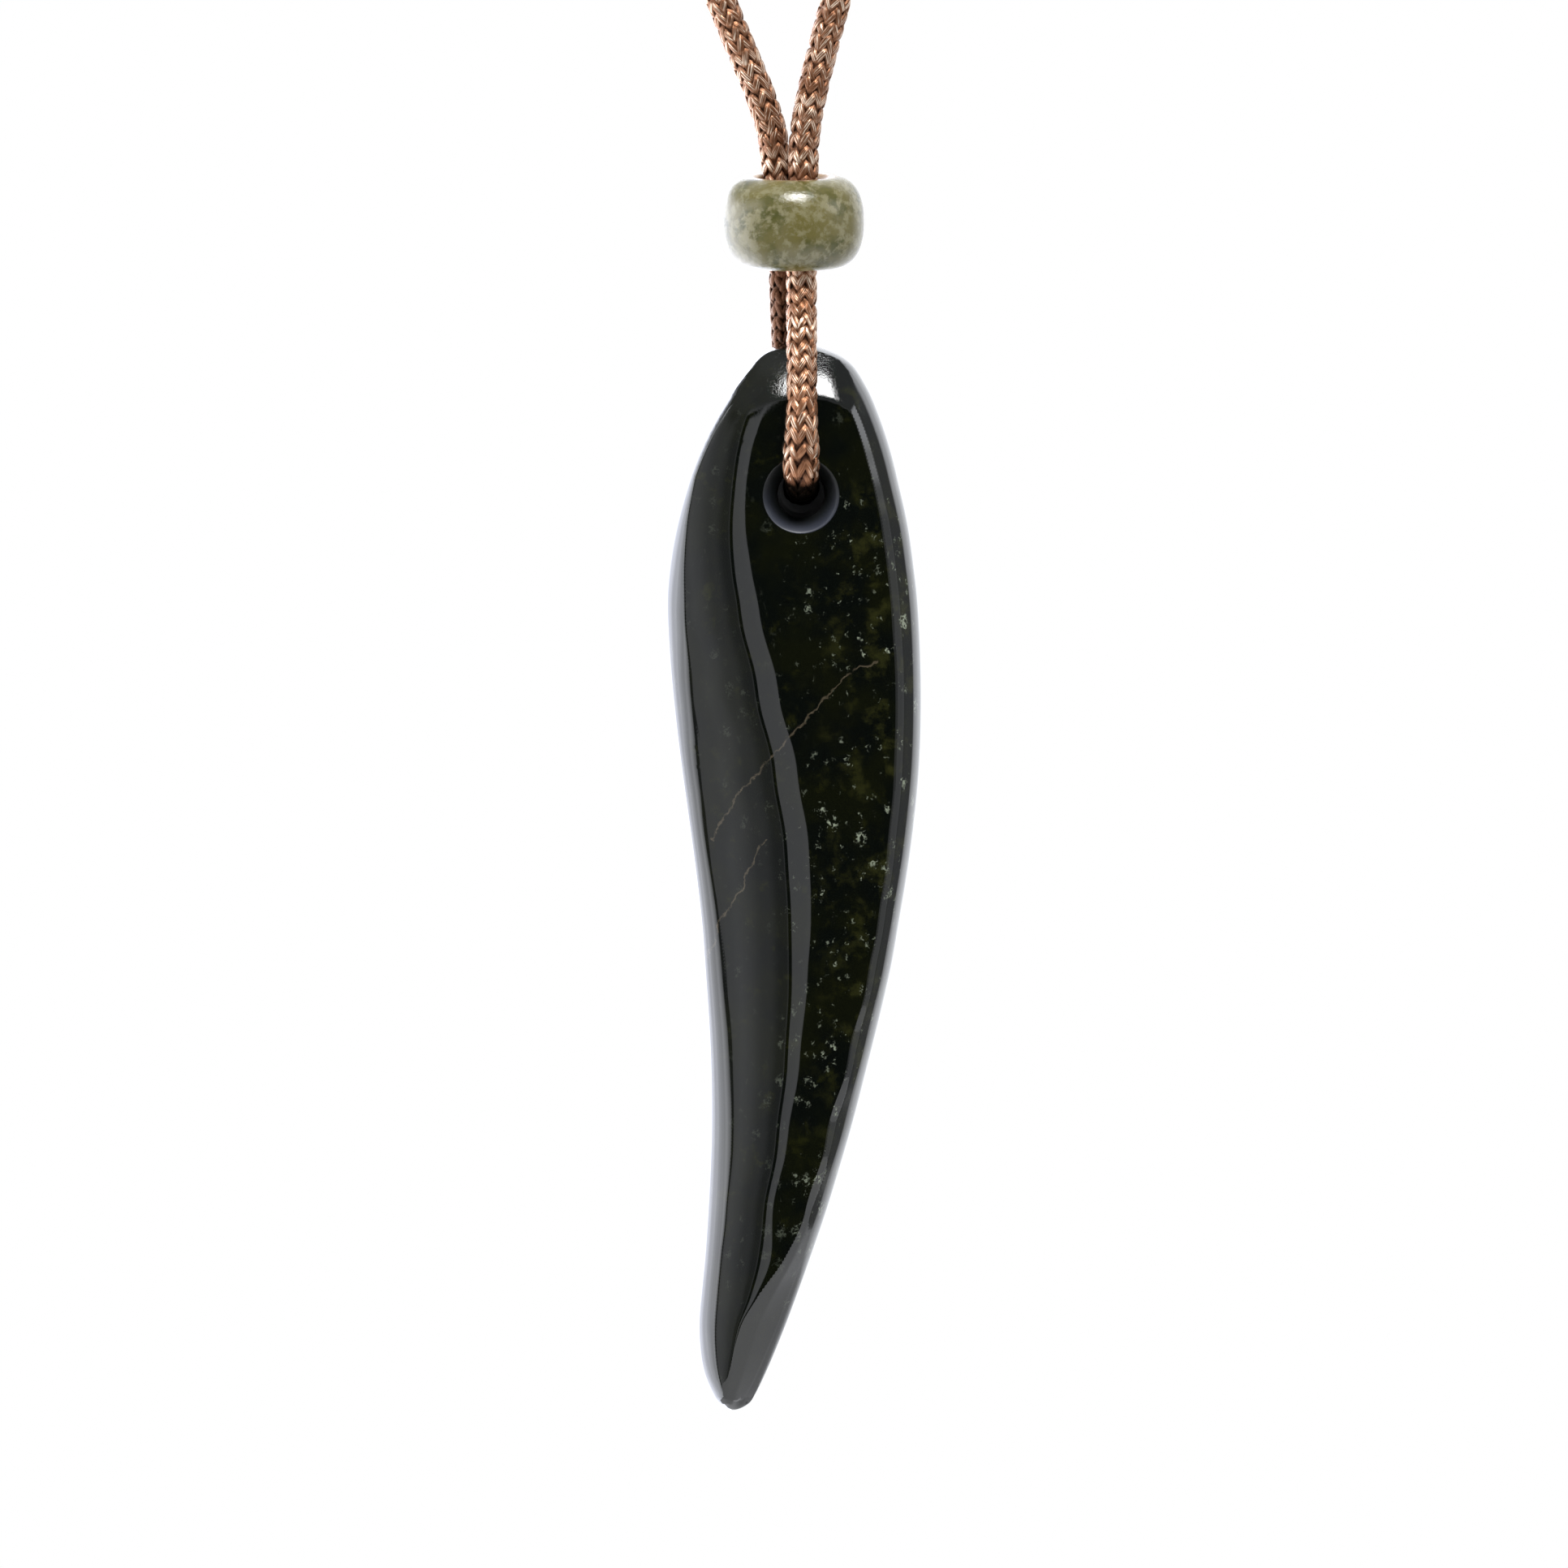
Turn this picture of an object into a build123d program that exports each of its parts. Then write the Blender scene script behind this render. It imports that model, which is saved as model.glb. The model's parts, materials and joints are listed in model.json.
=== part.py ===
from build123d import *
import math
import os
from typing import NamedTuple

# A carved jade drop and a jade bead on a braided neck cord, in millimetres.
# The loop hangs from the nape: the origin is the underside of the knot at its top, where a neck, bust or peg
# carries it. +Z is up, +X is to the wearer's left as the drop faces the viewer, and the drop faces -Y.

os.makedirs("parts", exist_ok=True)

# Neck cord
CORD_DIAMETER = 1.6

# Knot that joins the cord's two ends at the nape
KNOT_DIAMETER = 4.8
KNOT_LENGTH = 8.0
KNOT_EDGE_RADIUS = 0.8

# Bead that both strands pass through
BEAD_DIAMETER = 7.5
BEAD_HEIGHT = 4.8
BEAD_BORE_ROOM = 0.5
BEAD_MOUTH_RADIUS = 0.25
BEAD_CORNER_RADIUS = 1.2
BEAD_CORNER_ROOM_SHARE = 0.9
BEAD_CROWN = 0.3
BEAD_ABOVE_BIGHT = 13.75

# Carved drop
DROP_HEIGHT = 55.6
DROP_WIDTH = 13.26
DROP_THICKNESS = 5.2
HOLE_BELOW_TOP = 7.69
HOLE_ROOM = 0.9
COUNTERSINK_WIDTH = 0.68
COUNTERSINK_DEPTH = 1.2

# Room between the cord and the top of the hole that hangs on it
HANG_CLEARANCE = 0.12

# Shares of a section's own width and half thickness that shape its edges
RIM_WIDTH_SHARE = 0.065
BEVEL_WIDTH_SHARE = 0.10
LEFT_RIM_SHARE = 0.42
RIGHT_RIM_SHARE = 0.50
BACK_RIM_SHARE = 0.50
SHOULDER_SHARE = 0.90
LEFT_CROWN_SHARE = 0.07
RIGHT_CROWN_SHARE = 0.03


class Section(NamedTuple):
    """One level cut through the drop.

    fall is a share of the drop's height below its top, left and right are shares of its width on each side of
    the hole's axis, ridge is the ridge line's place as a share of this cut's own width from its left edge, and
    depth is a share of the drop's thickness.
    """

    fall: float
    left: float
    right: float
    ridge: float
    depth: float


DROP_SECTIONS = [
    Section(fall=0.000, left=0.057, right=0.057, ridge=0.46, depth=0.22),
    Section(fall=0.012, left=0.170, right=0.160, ridge=0.42, depth=0.44),
    Section(fall=0.040, left=0.262, right=0.265, ridge=0.34, depth=0.71),
    Section(fall=0.090, left=0.385, right=0.343, ridge=0.29, depth=0.91),
    Section(fall=0.160, left=0.484, right=0.410, ridge=0.29, depth=0.99),
    Section(fall=0.250, left=0.530, right=0.459, ridge=0.32, depth=1.00),
    Section(fall=0.350, left=0.498, right=0.470, ridge=0.38, depth=1.00),
    Section(fall=0.480, left=0.419, right=0.424, ridge=0.47, depth=0.98),
    Section(fall=0.610, left=0.374, right=0.321, ridge=0.53, depth=0.93),
    Section(fall=0.740, left=0.364, right=0.186, ridge=0.56, depth=0.86),
    Section(fall=0.860, left=0.391, right=0.026, ridge=0.61, depth=0.76),
    Section(fall=0.940, left=0.403, right=-0.106, ridge=0.60, depth=0.62),
    Section(fall=0.980, left=0.348, right=-0.177, ridge=0.52, depth=0.44),
    Section(fall=1.000, left=0.290, right=-0.238, ridge=0.50, depth=0.22),
]

# The cord's route, chosen by hand from the photograph: from the knot's right face down the right side,
# through the bead, in front of the drop, through its hole at BIGHT_Z and back up behind it to the left.
# The low points stand on BIGHT_Z, as the bead and the drop do.
BIGHT_X = 0.47
BIGHT_Z = -222.0
NAPE_Z = KNOT_DIAMETER / 2

CORD_ROUTE = [
    (KNOT_LENGTH / 2, 0.0, NAPE_Z),
    (14.0, 0.0, NAPE_Z),
    (28.5, 0.0, -3.5),
    (39.7, 0.0, -13.7),
    (47.3, 0.0, -28.0),
    (50.4, 0.0, -47.5),
    (46.0, 0.0, -73.0),
    (34.0, 0.0, -107.0),
    (19.6, 0.0, -145.0),
    (8.9, 0.0, -174.6),
    (4.1, -0.05, -190.0),
    (1.85, -0.25, BIGHT_Z + 23.8),
    (0.66, -0.50, BIGHT_Z + 19.0),
    (0.56, -0.62, BIGHT_Z + 16.2),
    (0.48, -0.76, BIGHT_Z + 11.0),
    (0.50, -2.25, BIGHT_Z + 7.2),
    (0.52, -3.45, BIGHT_Z + 3.5),
    (BIGHT_X, -3.42, BIGHT_Z),
    (BIGHT_X, 3.42, BIGHT_Z),
    (0.20, 3.45, BIGHT_Z + 3.5),
    (-0.30, 2.25, BIGHT_Z + 7.2),
    (-0.40, 0.76, BIGHT_Z + 11.0),
    (-0.76, 0.62, BIGHT_Z + 16.2),
    (-1.08, 0.48, BIGHT_Z + 19.0),
    (-3.10, 0.15, BIGHT_Z + 23.8),
    (-6.50, 0.03, -190.0),
    (-12.9, 0.0, -174.8),
    (-24.6, 0.0, -145.5),
    (-38.2, 0.0, -107.5),
    (-47.6, 0.0, -72.5),
    (-50.6, 0.0, -47.5),
    (-47.3, 0.0, -27.5),
    (-39.5, 0.0, -13.4),
    (-28.3, 0.0, -3.4),
    (-14.0, 0.0, NAPE_Z),
    (-KNOT_LENGTH / 2, 0.0, NAPE_Z),
]

# An arc takes this share of the shorter of the two runs that it joins
ARC_RUN_SHARE = 0.45


def corner_radii(points):
    """Largest even radius at each inner point of a route."""
    radii = []
    for before, corner, after in zip(points, points[1:], points[2:]):
        arriving = Vector(*corner) - Vector(*before)
        leaving = Vector(*after) - Vector(*corner)
        shorter = min(arriving.length, leaving.length)
        half_turn = math.radians(arriving.get_angle(leaving)) / 2
        radii.append(ARC_RUN_SHARE * shorter / math.tan(half_turn))
    return radii


def make_neck_cord():
    """Round tube along the cord's route, from one face of the knot to the other."""
    radii = corner_radii(CORD_ROUTE)
    for place, radius in zip(CORD_ROUTE[1:-1], radii):
        print("radius %6.2f at %7.2f %6.2f %8.2f" % (radius, *place))
    path = FilletPolyline(*CORD_ROUTE, radius=radii)
    profile = Plane(origin=path @ 0, z_dir=path % 0) * Circle(CORD_DIAMETER / 2)
    tube = sweep(profile, path=path)
    straight_volume = math.pi * (CORD_DIAMETER / 2) ** 2 * path.length
    print("cord length %.1f mm, volume %.2f, section times length %.2f" % (path.length, tube.volume, straight_volume))
    return tube


def make_cord_knot():
    """Barrel knot lying along X at the nape, its underside at the origin."""
    barrel = Cylinder(KNOT_DIAMETER / 2, KNOT_LENGTH, rotation=(0, 90, 0))
    barrel = fillet(barrel.edges().filter_by(GeomType.CIRCLE), KNOT_EDGE_RADIUS)
    return Pos(0, 0, NAPE_Z) * barrel


def make_bead():
    """Barrel bead turned about Z, with a crowned side, round corners and softened bore mouths."""
    bore = CORD_DIAMETER + BEAD_BORE_ROOM / 2
    outer = BEAD_DIAMETER / 2
    half = BEAD_HEIGHT / 2
    side = outer - BEAD_CROWN
    mouth_edge = bore + BEAD_MOUTH_RADIUS
    corner_radius = min(BEAD_CORNER_RADIUS, (side - mouth_edge) * BEAD_CORNER_ROOM_SHARE)
    bottom = Line((mouth_edge, -half), (side - corner_radius, -half))
    low_corner = JernArc(bottom @ 1, (1, 0), corner_radius, 90)
    crown = ThreePointArc(low_corner @ 1, (outer, 0), (side, half - corner_radius))
    corner = JernArc(crown @ 1, (0, 1), corner_radius, 90)
    top = Line(corner @ 1, (mouth_edge, half))
    mouth = JernArc(top @ 1, (-1, 0), BEAD_MOUTH_RADIUS, 90)
    wall = Line(mouth @ 1, (bore, -half + BEAD_MOUTH_RADIUS))
    low_mouth = JernArc(wall @ 1, (0, -1), BEAD_MOUTH_RADIUS, 90)
    profile = make_face([bottom, low_corner, crown, corner, top, mouth, wall, low_mouth])
    turned = revolve(Plane.XZ * profile, Axis.Z)
    return Pos(0, 0, BIGHT_Z + BEAD_ABOVE_BIGHT) * turned


def drop_section(section, top_z):
    """Closed outline of one level cut: bevelled front with its ridge, round rims and a crowned back."""
    z = top_z - section.fall * DROP_HEIGHT
    left = BIGHT_X - section.left * DROP_WIDTH
    right = BIGHT_X + section.right * DROP_WIDTH
    width = right - left
    half = section.depth * DROP_THICKNESS / 2
    rim = width * RIM_WIDTH_SHARE
    ridge_x = left + width * section.ridge
    front_left = Vector(left + rim, -half * LEFT_RIM_SHARE, z)
    ridge = Vector(ridge_x, -half, z)
    shoulder = Vector(right - rim - width * BEVEL_WIDTH_SHARE, -half * SHOULDER_SHARE, z)
    front_right = Vector(right - rim, -half * RIGHT_RIM_SHARE, z)
    back_right = Vector(right - rim, half * BACK_RIM_SHARE, z)
    back_left = Vector(left + rim, half * BACK_RIM_SHARE, z)
    left_crown = (front_left + ridge) / 2 - Vector(0, half * LEFT_CROWN_SHARE, 0)
    right_crown = (ridge + shoulder) / 2 - Vector(0, half * RIGHT_CROWN_SHARE, 0)
    edges = [
        ThreePointArc(front_left, left_crown, ridge),
        ThreePointArc(ridge, right_crown, shoulder),
        Line(shoulder, front_right),
        ThreePointArc(front_right, Vector(right, 0, z), back_right),
        ThreePointArc(back_right, Vector((left + right) / 2, half, z), back_left),
        ThreePointArc(back_left, Vector(left, 0, z), front_left),
    ]
    return make_face(edges)


def make_hole_cutter(hole_z):
    """Bore along Y with a countersink at each face of the drop."""
    bore = (CORD_DIAMETER + HOLE_ROOM) / 2
    mouth = bore + COUNTERSINK_WIDTH
    half = DROP_THICKNESS / 2
    slope = COUNTERSINK_WIDTH / COUNTERSINK_DEPTH
    outside = half + COUNTERSINK_DEPTH
    outside_radius = mouth + slope * COUNTERSINK_DEPTH
    inside = half - COUNTERSINK_DEPTH
    outline = Polyline(
        (0, -outside),
        (outside_radius, -outside),
        (bore, -inside),
        (bore, inside),
        (outside_radius, outside),
        (0, outside),
        close=True,
    )
    turned = revolve(Plane.XY * make_face(outline), Axis.Y)
    return Pos(BIGHT_X, 0, hole_z) * turned


def make_drop():
    """Carved drop, hung so that the top of its hole rests just over the cord."""
    bore = (CORD_DIAMETER + HOLE_ROOM) / 2
    hole_z = BIGHT_Z - (bore - CORD_DIAMETER / 2 - HANG_CLEARANCE)
    top_z = hole_z + HOLE_BELOW_TOP
    cuts = [drop_section(section, top_z) for section in DROP_SECTIONS]
    stone = loft(cuts)
    return stone - make_hole_cutter(hole_z)


PARTS = {
    "neck_cord": make_neck_cord(),
    "cord_knot": make_cord_knot(),
    "jade_bead": make_bead(),
    "jade_drop": make_drop(),
}

for node, solid in PARTS.items():
    export_step(solid, "parts/%s.step" % node)
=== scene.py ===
import json
import logging
import math
from dataclasses import dataclass
from enum import Enum
from functools import partial
from typing import Callable, NamedTuple

import bpy
import numpy as np
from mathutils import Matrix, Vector, geometry, kdtree


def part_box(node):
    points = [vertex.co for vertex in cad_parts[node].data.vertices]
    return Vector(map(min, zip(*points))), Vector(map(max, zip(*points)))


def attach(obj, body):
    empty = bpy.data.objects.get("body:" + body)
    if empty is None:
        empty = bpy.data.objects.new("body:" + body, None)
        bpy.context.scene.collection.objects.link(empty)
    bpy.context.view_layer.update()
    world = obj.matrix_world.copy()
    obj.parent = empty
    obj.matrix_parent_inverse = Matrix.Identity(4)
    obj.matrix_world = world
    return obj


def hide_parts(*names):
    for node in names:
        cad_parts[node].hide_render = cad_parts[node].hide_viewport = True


# Dresses a jade drop and bead on a braided neck cord. Lengths are millimetres until a mesh is written,
# which is in metres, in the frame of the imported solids: +Z is up and the drop faces -Y.

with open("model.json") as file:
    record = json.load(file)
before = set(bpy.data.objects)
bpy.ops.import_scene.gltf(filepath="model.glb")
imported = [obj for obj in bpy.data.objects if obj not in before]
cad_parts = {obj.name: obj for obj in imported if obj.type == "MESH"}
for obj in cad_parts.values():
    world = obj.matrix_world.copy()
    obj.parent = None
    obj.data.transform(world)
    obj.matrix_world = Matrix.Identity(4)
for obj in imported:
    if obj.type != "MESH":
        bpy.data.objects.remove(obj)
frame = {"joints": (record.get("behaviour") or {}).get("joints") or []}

LOG = logging.getLogger("jade_pendant")
MM = 0.001
Socket = bpy.types.NodeSocket
TREE_KINDS = {
    "float": "NodeSocketFloat",
    "colour": "NodeSocketColor",
    "vector": "NodeSocketVector",
}


class Body(Enum):
    """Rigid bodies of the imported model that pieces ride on."""

    LOOP = "cord_loop"
    DROP = "drop"


class Twist(Enum):
    """Which way round the cord a yarn runs."""

    RIGHT = 1
    LEFT = -1


class Side(Enum):
    """Face of the drop, with the direction in which it stands off the rim."""

    FRONT = -1
    BACK = 1


def unit(vectors: np.ndarray) -> np.ndarray:
    """Rows scaled to length one."""
    return vectors / np.maximum(np.linalg.norm(vectors, axis=-1, keepdims=True), 1e-12)


def full_turn(count: int) -> np.ndarray:
    """Even angles once round."""
    return 2 * math.pi * np.arange(count) / count


def read_rows(places: np.ndarray, knots: np.ndarray, rows: np.ndarray) -> np.ndarray:
    """Rows of a table, read straight between its knots."""
    return np.stack([np.interp(places, knots, column) for column in rows.T], axis=1)


def even_stations(first: float, last: float, pitch: float) -> np.ndarray:
    """Distances from first to last, at most a pitch apart."""
    return np.linspace(first, last, int(math.ceil((last - first) / pitch)) + 1)


def in_millimetres(box: tuple) -> tuple[Vector, Vector, Vector]:
    """Low corner, high corner and middle of a box that is given in metres."""
    low, high = (Vector(corner) / MM for corner in box)
    return low, high, (low + high) / 2


def smoothstep(value: np.ndarray, low: float, high: float) -> np.ndarray:
    """Soft step from 0 at low to 1 at high."""
    share = np.clip((value - low) / (high - low), 0.0, 1.0)
    return share * share * (3.0 - 2.0 * share)


def soft_min(heights: np.ndarray, softness: float | np.ndarray) -> np.ndarray:
    """Lowest of several sheets, with the creases between them rounded.

    Args:
        heights: One row for each sheet.
        softness: Size of the rounding.

    Returns:
        One height for each column.
    """
    lowest = heights.min(axis=0)
    spread = np.exp(-(heights - lowest) / softness).sum(axis=0)
    return lowest - softness * np.log(spread)


def smooth_table(places: np.ndarray, knots: np.ndarray, values: np.ndarray) -> np.ndarray:
    """Reads a table with a smooth curve through its rows.

    Args:
        places: Where to read it.
        knots: Places of the rows, rising.
        values: Values of the rows.

    Returns:
        One value for each place, held level past both ends.
    """
    slopes = np.gradient(values, knots)
    places = np.clip(places, knots[0], knots[-1])
    row = np.clip(np.searchsorted(knots, places) - 1, 0, len(knots) - 2)
    span = knots[row + 1] - knots[row]
    share = (places - knots[row]) / span
    rise = values[row + 1] - values[row]
    bend = slopes[row] * span * (1 - share) - slopes[row + 1] * span * share
    blend = share * share * (3 - 2 * share)
    return values[row] + rise * blend + share * (1 - share) * (bend - rise * (1 - 2 * share))


def new_piece(name: str, vertices: np.ndarray, faces: list, body: Body) -> bpy.types.Object:
    """Makes a smooth shaded mesh piece that rides on a body.

    Args:
        name: Piece name.
        vertices: Places in millimetres.
        faces: Vertex numbers of each face.
        body: Body that carries the piece.

    Returns:
        The new object, in the scene.
    """
    mesh = bpy.data.meshes.new(name)
    mesh.from_pydata((vertices * MM).tolist(), [], faces)
    mesh.update()
    mesh.polygons.foreach_set("use_smooth", np.ones(len(mesh.polygons), dtype=bool))
    piece = bpy.data.objects.new(name, mesh)
    bpy.context.collection.objects.link(piece)
    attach(piece, body.value)
    return piece


def read_curve(points: list[tuple[float, float, float]], fineness: int) -> np.ndarray:
    """Draws a smooth NURBS line with some control points and reads it back.

    Args:
        points: Control points in millimetres.
        fineness: Points read for each control point.

    Returns:
        Points along the line in millimetres.
    """
    line = bpy.data.curves.new("line", "CURVE")
    line.dimensions = "3D"
    line.resolution_u = fineness
    spline = line.splines.new("NURBS")
    spline.points.add(len(points) - 1)
    for control, place in zip(spline.points, points):
        control.co = (*(value * MM for value in place), 1.0)
    spline.order_u = 3
    spline.use_endpoint_u = True
    holder = bpy.data.objects.new("line", line)
    drawn = bpy.data.meshes.new_from_object(holder)
    read = np.array([vertex.co[:] for vertex in drawn.vertices]) / MM
    bpy.data.objects.remove(holder)
    bpy.data.curves.remove(line)
    bpy.data.meshes.remove(drawn)
    return read


class Graph:
    """Adds nodes to one node tree and links them."""

    def __init__(self, tree: bpy.types.NodeTree) -> None:
        """Empties the tree."""
        self.tree = tree
        tree.nodes.clear()

    def add(self, kind: str, settings: dict | None = None, **inputs: object) -> bpy.types.Node:
        """Adds one node.

        Args:
            kind: Blender's name of the node type.
            settings: Values of the node's own properties.
            **inputs: Values or sockets by input name, with _ for a space.

        Returns:
            The node.
        """
        node = self.tree.nodes.new(kind)
        for name, value in (settings or {}).items():
            setattr(node, name, value)
        for name, value in inputs.items():
            self.feed(node.inputs[name.replace("_", " ")], value)
        return node

    def feed(self, socket: Socket, value: object) -> None:
        """Links a socket to an output, or sets its own value.

        Args:
            socket: Input of a node.
            value: Output to link, or plain value.
        """
        if isinstance(value, Socket):
            self.tree.links.new(value, socket)
        else:
            socket.default_value = value

    def operate(self, kind: str, operation: str, values: tuple) -> bpy.types.Node:
        """Adds a math node of some kind.

        Args:
            kind: Blender's name of the node type.
            operation: Blender's name of the operation.
            values: Values or sockets for its first inputs.

        Returns:
            The node.
        """
        node = self.add(kind, {"operation": operation})
        for socket, value in zip(node.inputs, values):
            self.feed(socket, value)
        return node

    def math(self, operation: str, *values: object) -> Socket:
        """Result of a math node with up to three values."""
        return self.operate("ShaderNodeMath", operation, values).outputs[0]

    def times(self, first: object, second: object) -> Socket:
        """Product of two values."""
        return self.math("MULTIPLY", first, second)

    def plus(self, first: object, second: object) -> Socket:
        """Sum of two values."""
        return self.math("ADD", first, second)

    def minus(self, first: object, second: object) -> Socket:
        """First value less the second."""
        return self.math("SUBTRACT", first, second)

    def radius(self, across: object, along: object) -> Socket:
        """Distance from an axis, by the two offsets from it."""
        squares = [self.math("POWER", offset, 2.0) for offset in (across, along)]
        return self.math("SQRT", self.plus(*squares))

    def vector_math(self, operation: str, *values: object, output: str = "Vector") -> Socket:
        """Result of a vector math node, its Vector or its Value."""
        return self.operate("ShaderNodeVectorMath", operation, values).outputs[output]

    def scaled(self, vector: object, factor: object) -> Socket:
        """Vector times a factor.

        Args:
            vector: The vector.
            factor: Value or socket to multiply it with.

        Returns:
            The longer or shorter vector.
        """
        node = self.operate("ShaderNodeVectorMath", "SCALE", (vector,))
        self.feed(node.inputs["Scale"], factor)
        return node.outputs["Vector"]

    def split(self, vector: object) -> list[Socket]:
        """Three parts of a vector."""
        return list(self.add("ShaderNodeSeparateXYZ", Vector=vector).outputs)

    def step(self, value: object, low: float, high: float) -> Socket:
        """Soft step from 0 at low to 1 at high, and back to front where low is over high.

        Args:
            value: Value or socket to read.
            low: Where the step is 0.
            high: Where the step is 1.

        Returns:
            The step, from 0 to 1.
        """
        node = self.add("ShaderNodeMapRange", {"interpolation_type": "SMOOTHSTEP"}, Value=value)
        if low < high:
            ends = (low, high, 0.0, 1.0)
        else:
            ends = (high, low, 1.0, 0.0)
        for socket, end in zip(list(node.inputs)[1:5], ends):
            socket.default_value = end
        return node.outputs["Result"]

    def mix(self, share: object, first: object, second: object) -> Socket:
        """Colour between two others.

        Args:
            share: How much there is of the second.
            first: First colour.
            second: Second colour.

        Returns:
            The mixed colour.
        """
        node = self.add("ShaderNodeMix", {"data_type": "RGBA"})
        for number, value in ((0, share), (6, first), (7, second)):
            self.feed(node.inputs[number], value)
        return node.outputs[2]

    def noise(self, place: object, scale: object, detail: float, roughness: float = 0.55,
              output: str = "Fac") -> Socket:
        """Noise over some coordinates, as its Fac or its Color."""
        node = self.add("ShaderNodeTexNoise", Vector=place, Scale=scale, Detail=detail, Roughness=roughness)
        return node.outputs[output]

    def drift(self, place: object, scale: float, detail: float, roughness: float) -> Socket:
        """Noise as a vector that swings both ways from nought."""
        colour = self.noise(place, scale, detail, roughness, "Color")
        return self.vector_math("SUBTRACT", colour, (0.5, 0.5, 0.5))

    def surface(self, height: object, depth: float, strength: float = 1.0, **inputs: object) -> None:
        """Ends a material with its shader, bent by a height.

        Args:
            height: Height of the bump.
            depth: Depth of the bump in millimetres.
            strength: Strength of the bump.
            **inputs: Values or sockets of the shader by input name, with _ for a space.
        """
        bump = self.add("ShaderNodeBump", Strength=strength, Distance=depth * MM, Height=height)
        shader = self.add("ShaderNodeBsdfPrincipled", Normal=bump.outputs["Normal"], **inputs)
        self.add("ShaderNodeOutputMaterial", Surface=shader.outputs[0])


def millimetre_place(graph: Graph) -> Socket:
    """Place on the piece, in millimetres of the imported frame."""
    place = graph.add("ShaderNodeTexCoord").outputs["Object"]
    return graph.vector_math("MULTIPLY", place, (1 / MM, 1 / MM, 1 / MM))


class EffectGroup:
    """Shader node group with named inputs and outputs that several finishes use."""

    name = "effect"
    inputs: dict[str, tuple[str, object]] = {}
    outputs: dict[str, str] = {}

    @classmethod
    def tree(cls) -> bpy.types.NodeTree:
        """Builds the group once, and hands out the same one after that.

        Returns:
            The node group.
        """
        known = bpy.data.node_groups.get(cls.name)
        if known:
            return known
        group = bpy.data.node_groups.new(cls.name, "ShaderNodeTree")
        graph = Graph(group)
        for name, (kind, value) in cls.inputs.items():
            socket = group.interface.new_socket(name, in_out="INPUT", socket_type=TREE_KINDS[kind])
            socket.default_value = value
        for name, kind in cls.outputs.items():
            group.interface.new_socket(name, in_out="OUTPUT", socket_type=TREE_KINDS[kind])
        source = graph.add("NodeGroupInput")
        results = cls.build(graph, source.outputs)
        target = graph.add("NodeGroupOutput")
        for name, result in results.items():
            graph.feed(target.inputs[name], result)
        return group

    @classmethod
    def build(cls, graph: Graph, given: object) -> dict[str, Socket]:
        """Adds the group's nodes and hands out its results by name."""
        raise NotImplementedError

    @classmethod
    def place(cls, graph: Graph, **inputs: object) -> bpy.types.Node:
        """Puts the group into a material.

        Args:
            graph: The material's nodes.
            **inputs: Values or sockets by input name, with _ for a space.

        Returns:
            The group node.
        """
        node = graph.add("ShaderNodeGroup", {"node_tree": cls.tree()})
        for name, value in inputs.items():
            graph.feed(node.inputs[name.replace("_", " ")], value)
        return node


class StoneClouds(EffectGroup):
    """Soft patches of three tones, as fibrous jade has under its polish."""

    name = "stone_clouds"
    inputs = {
        "Place": ("vector", (0.0, 0.0, 0.0)),
        "Scale": ("float", 0.5),
        "Dark": ("colour", (0.0, 0.0, 0.0, 1.0)),
        "Middle": ("colour", (0.1, 0.1, 0.1, 1.0)),
        "Light": ("colour", (0.5, 0.5, 0.5, 1.0)),
        "Middle Share": ("float", 0.5),
        "Light Share": ("float", 0.3),
    }
    outputs = {"Color": "colour"}
    fineness = 3.1
    middle_edge = (-0.12, 0.12)
    light_edge = (-0.07, 0.10)

    @classmethod
    def build(cls, graph: Graph, given: object) -> dict[str, Socket]:
        """Adds the two layers of noise and mixes the tones by them.

        Args:
            graph: Nodes of the group.
            given: Outputs of the group's input node.

        Returns:
            The mixed colour.
        """
        drift = graph.noise(given["Place"], 0.4, 2.0, output="Color")
        shifted = graph.vector_math("ADD", given["Place"], drift)
        broad = graph.noise(shifted, given["Scale"], 3.0, 0.6)
        fine = graph.noise(shifted, graph.times(given["Scale"], cls.fineness), 5.0, 0.65)
        tone = given["Dark"]
        for noise, colour, edge in ((broad, "Middle", cls.middle_edge), (fine, "Light", cls.light_edge)):
            level = graph.minus(1.0, given[colour + " Share"])
            mask = graph.step(graph.minus(noise, level), *edge)
            tone = graph.mix(mask, tone, given[colour])
        return {"Color": tone}


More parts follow.
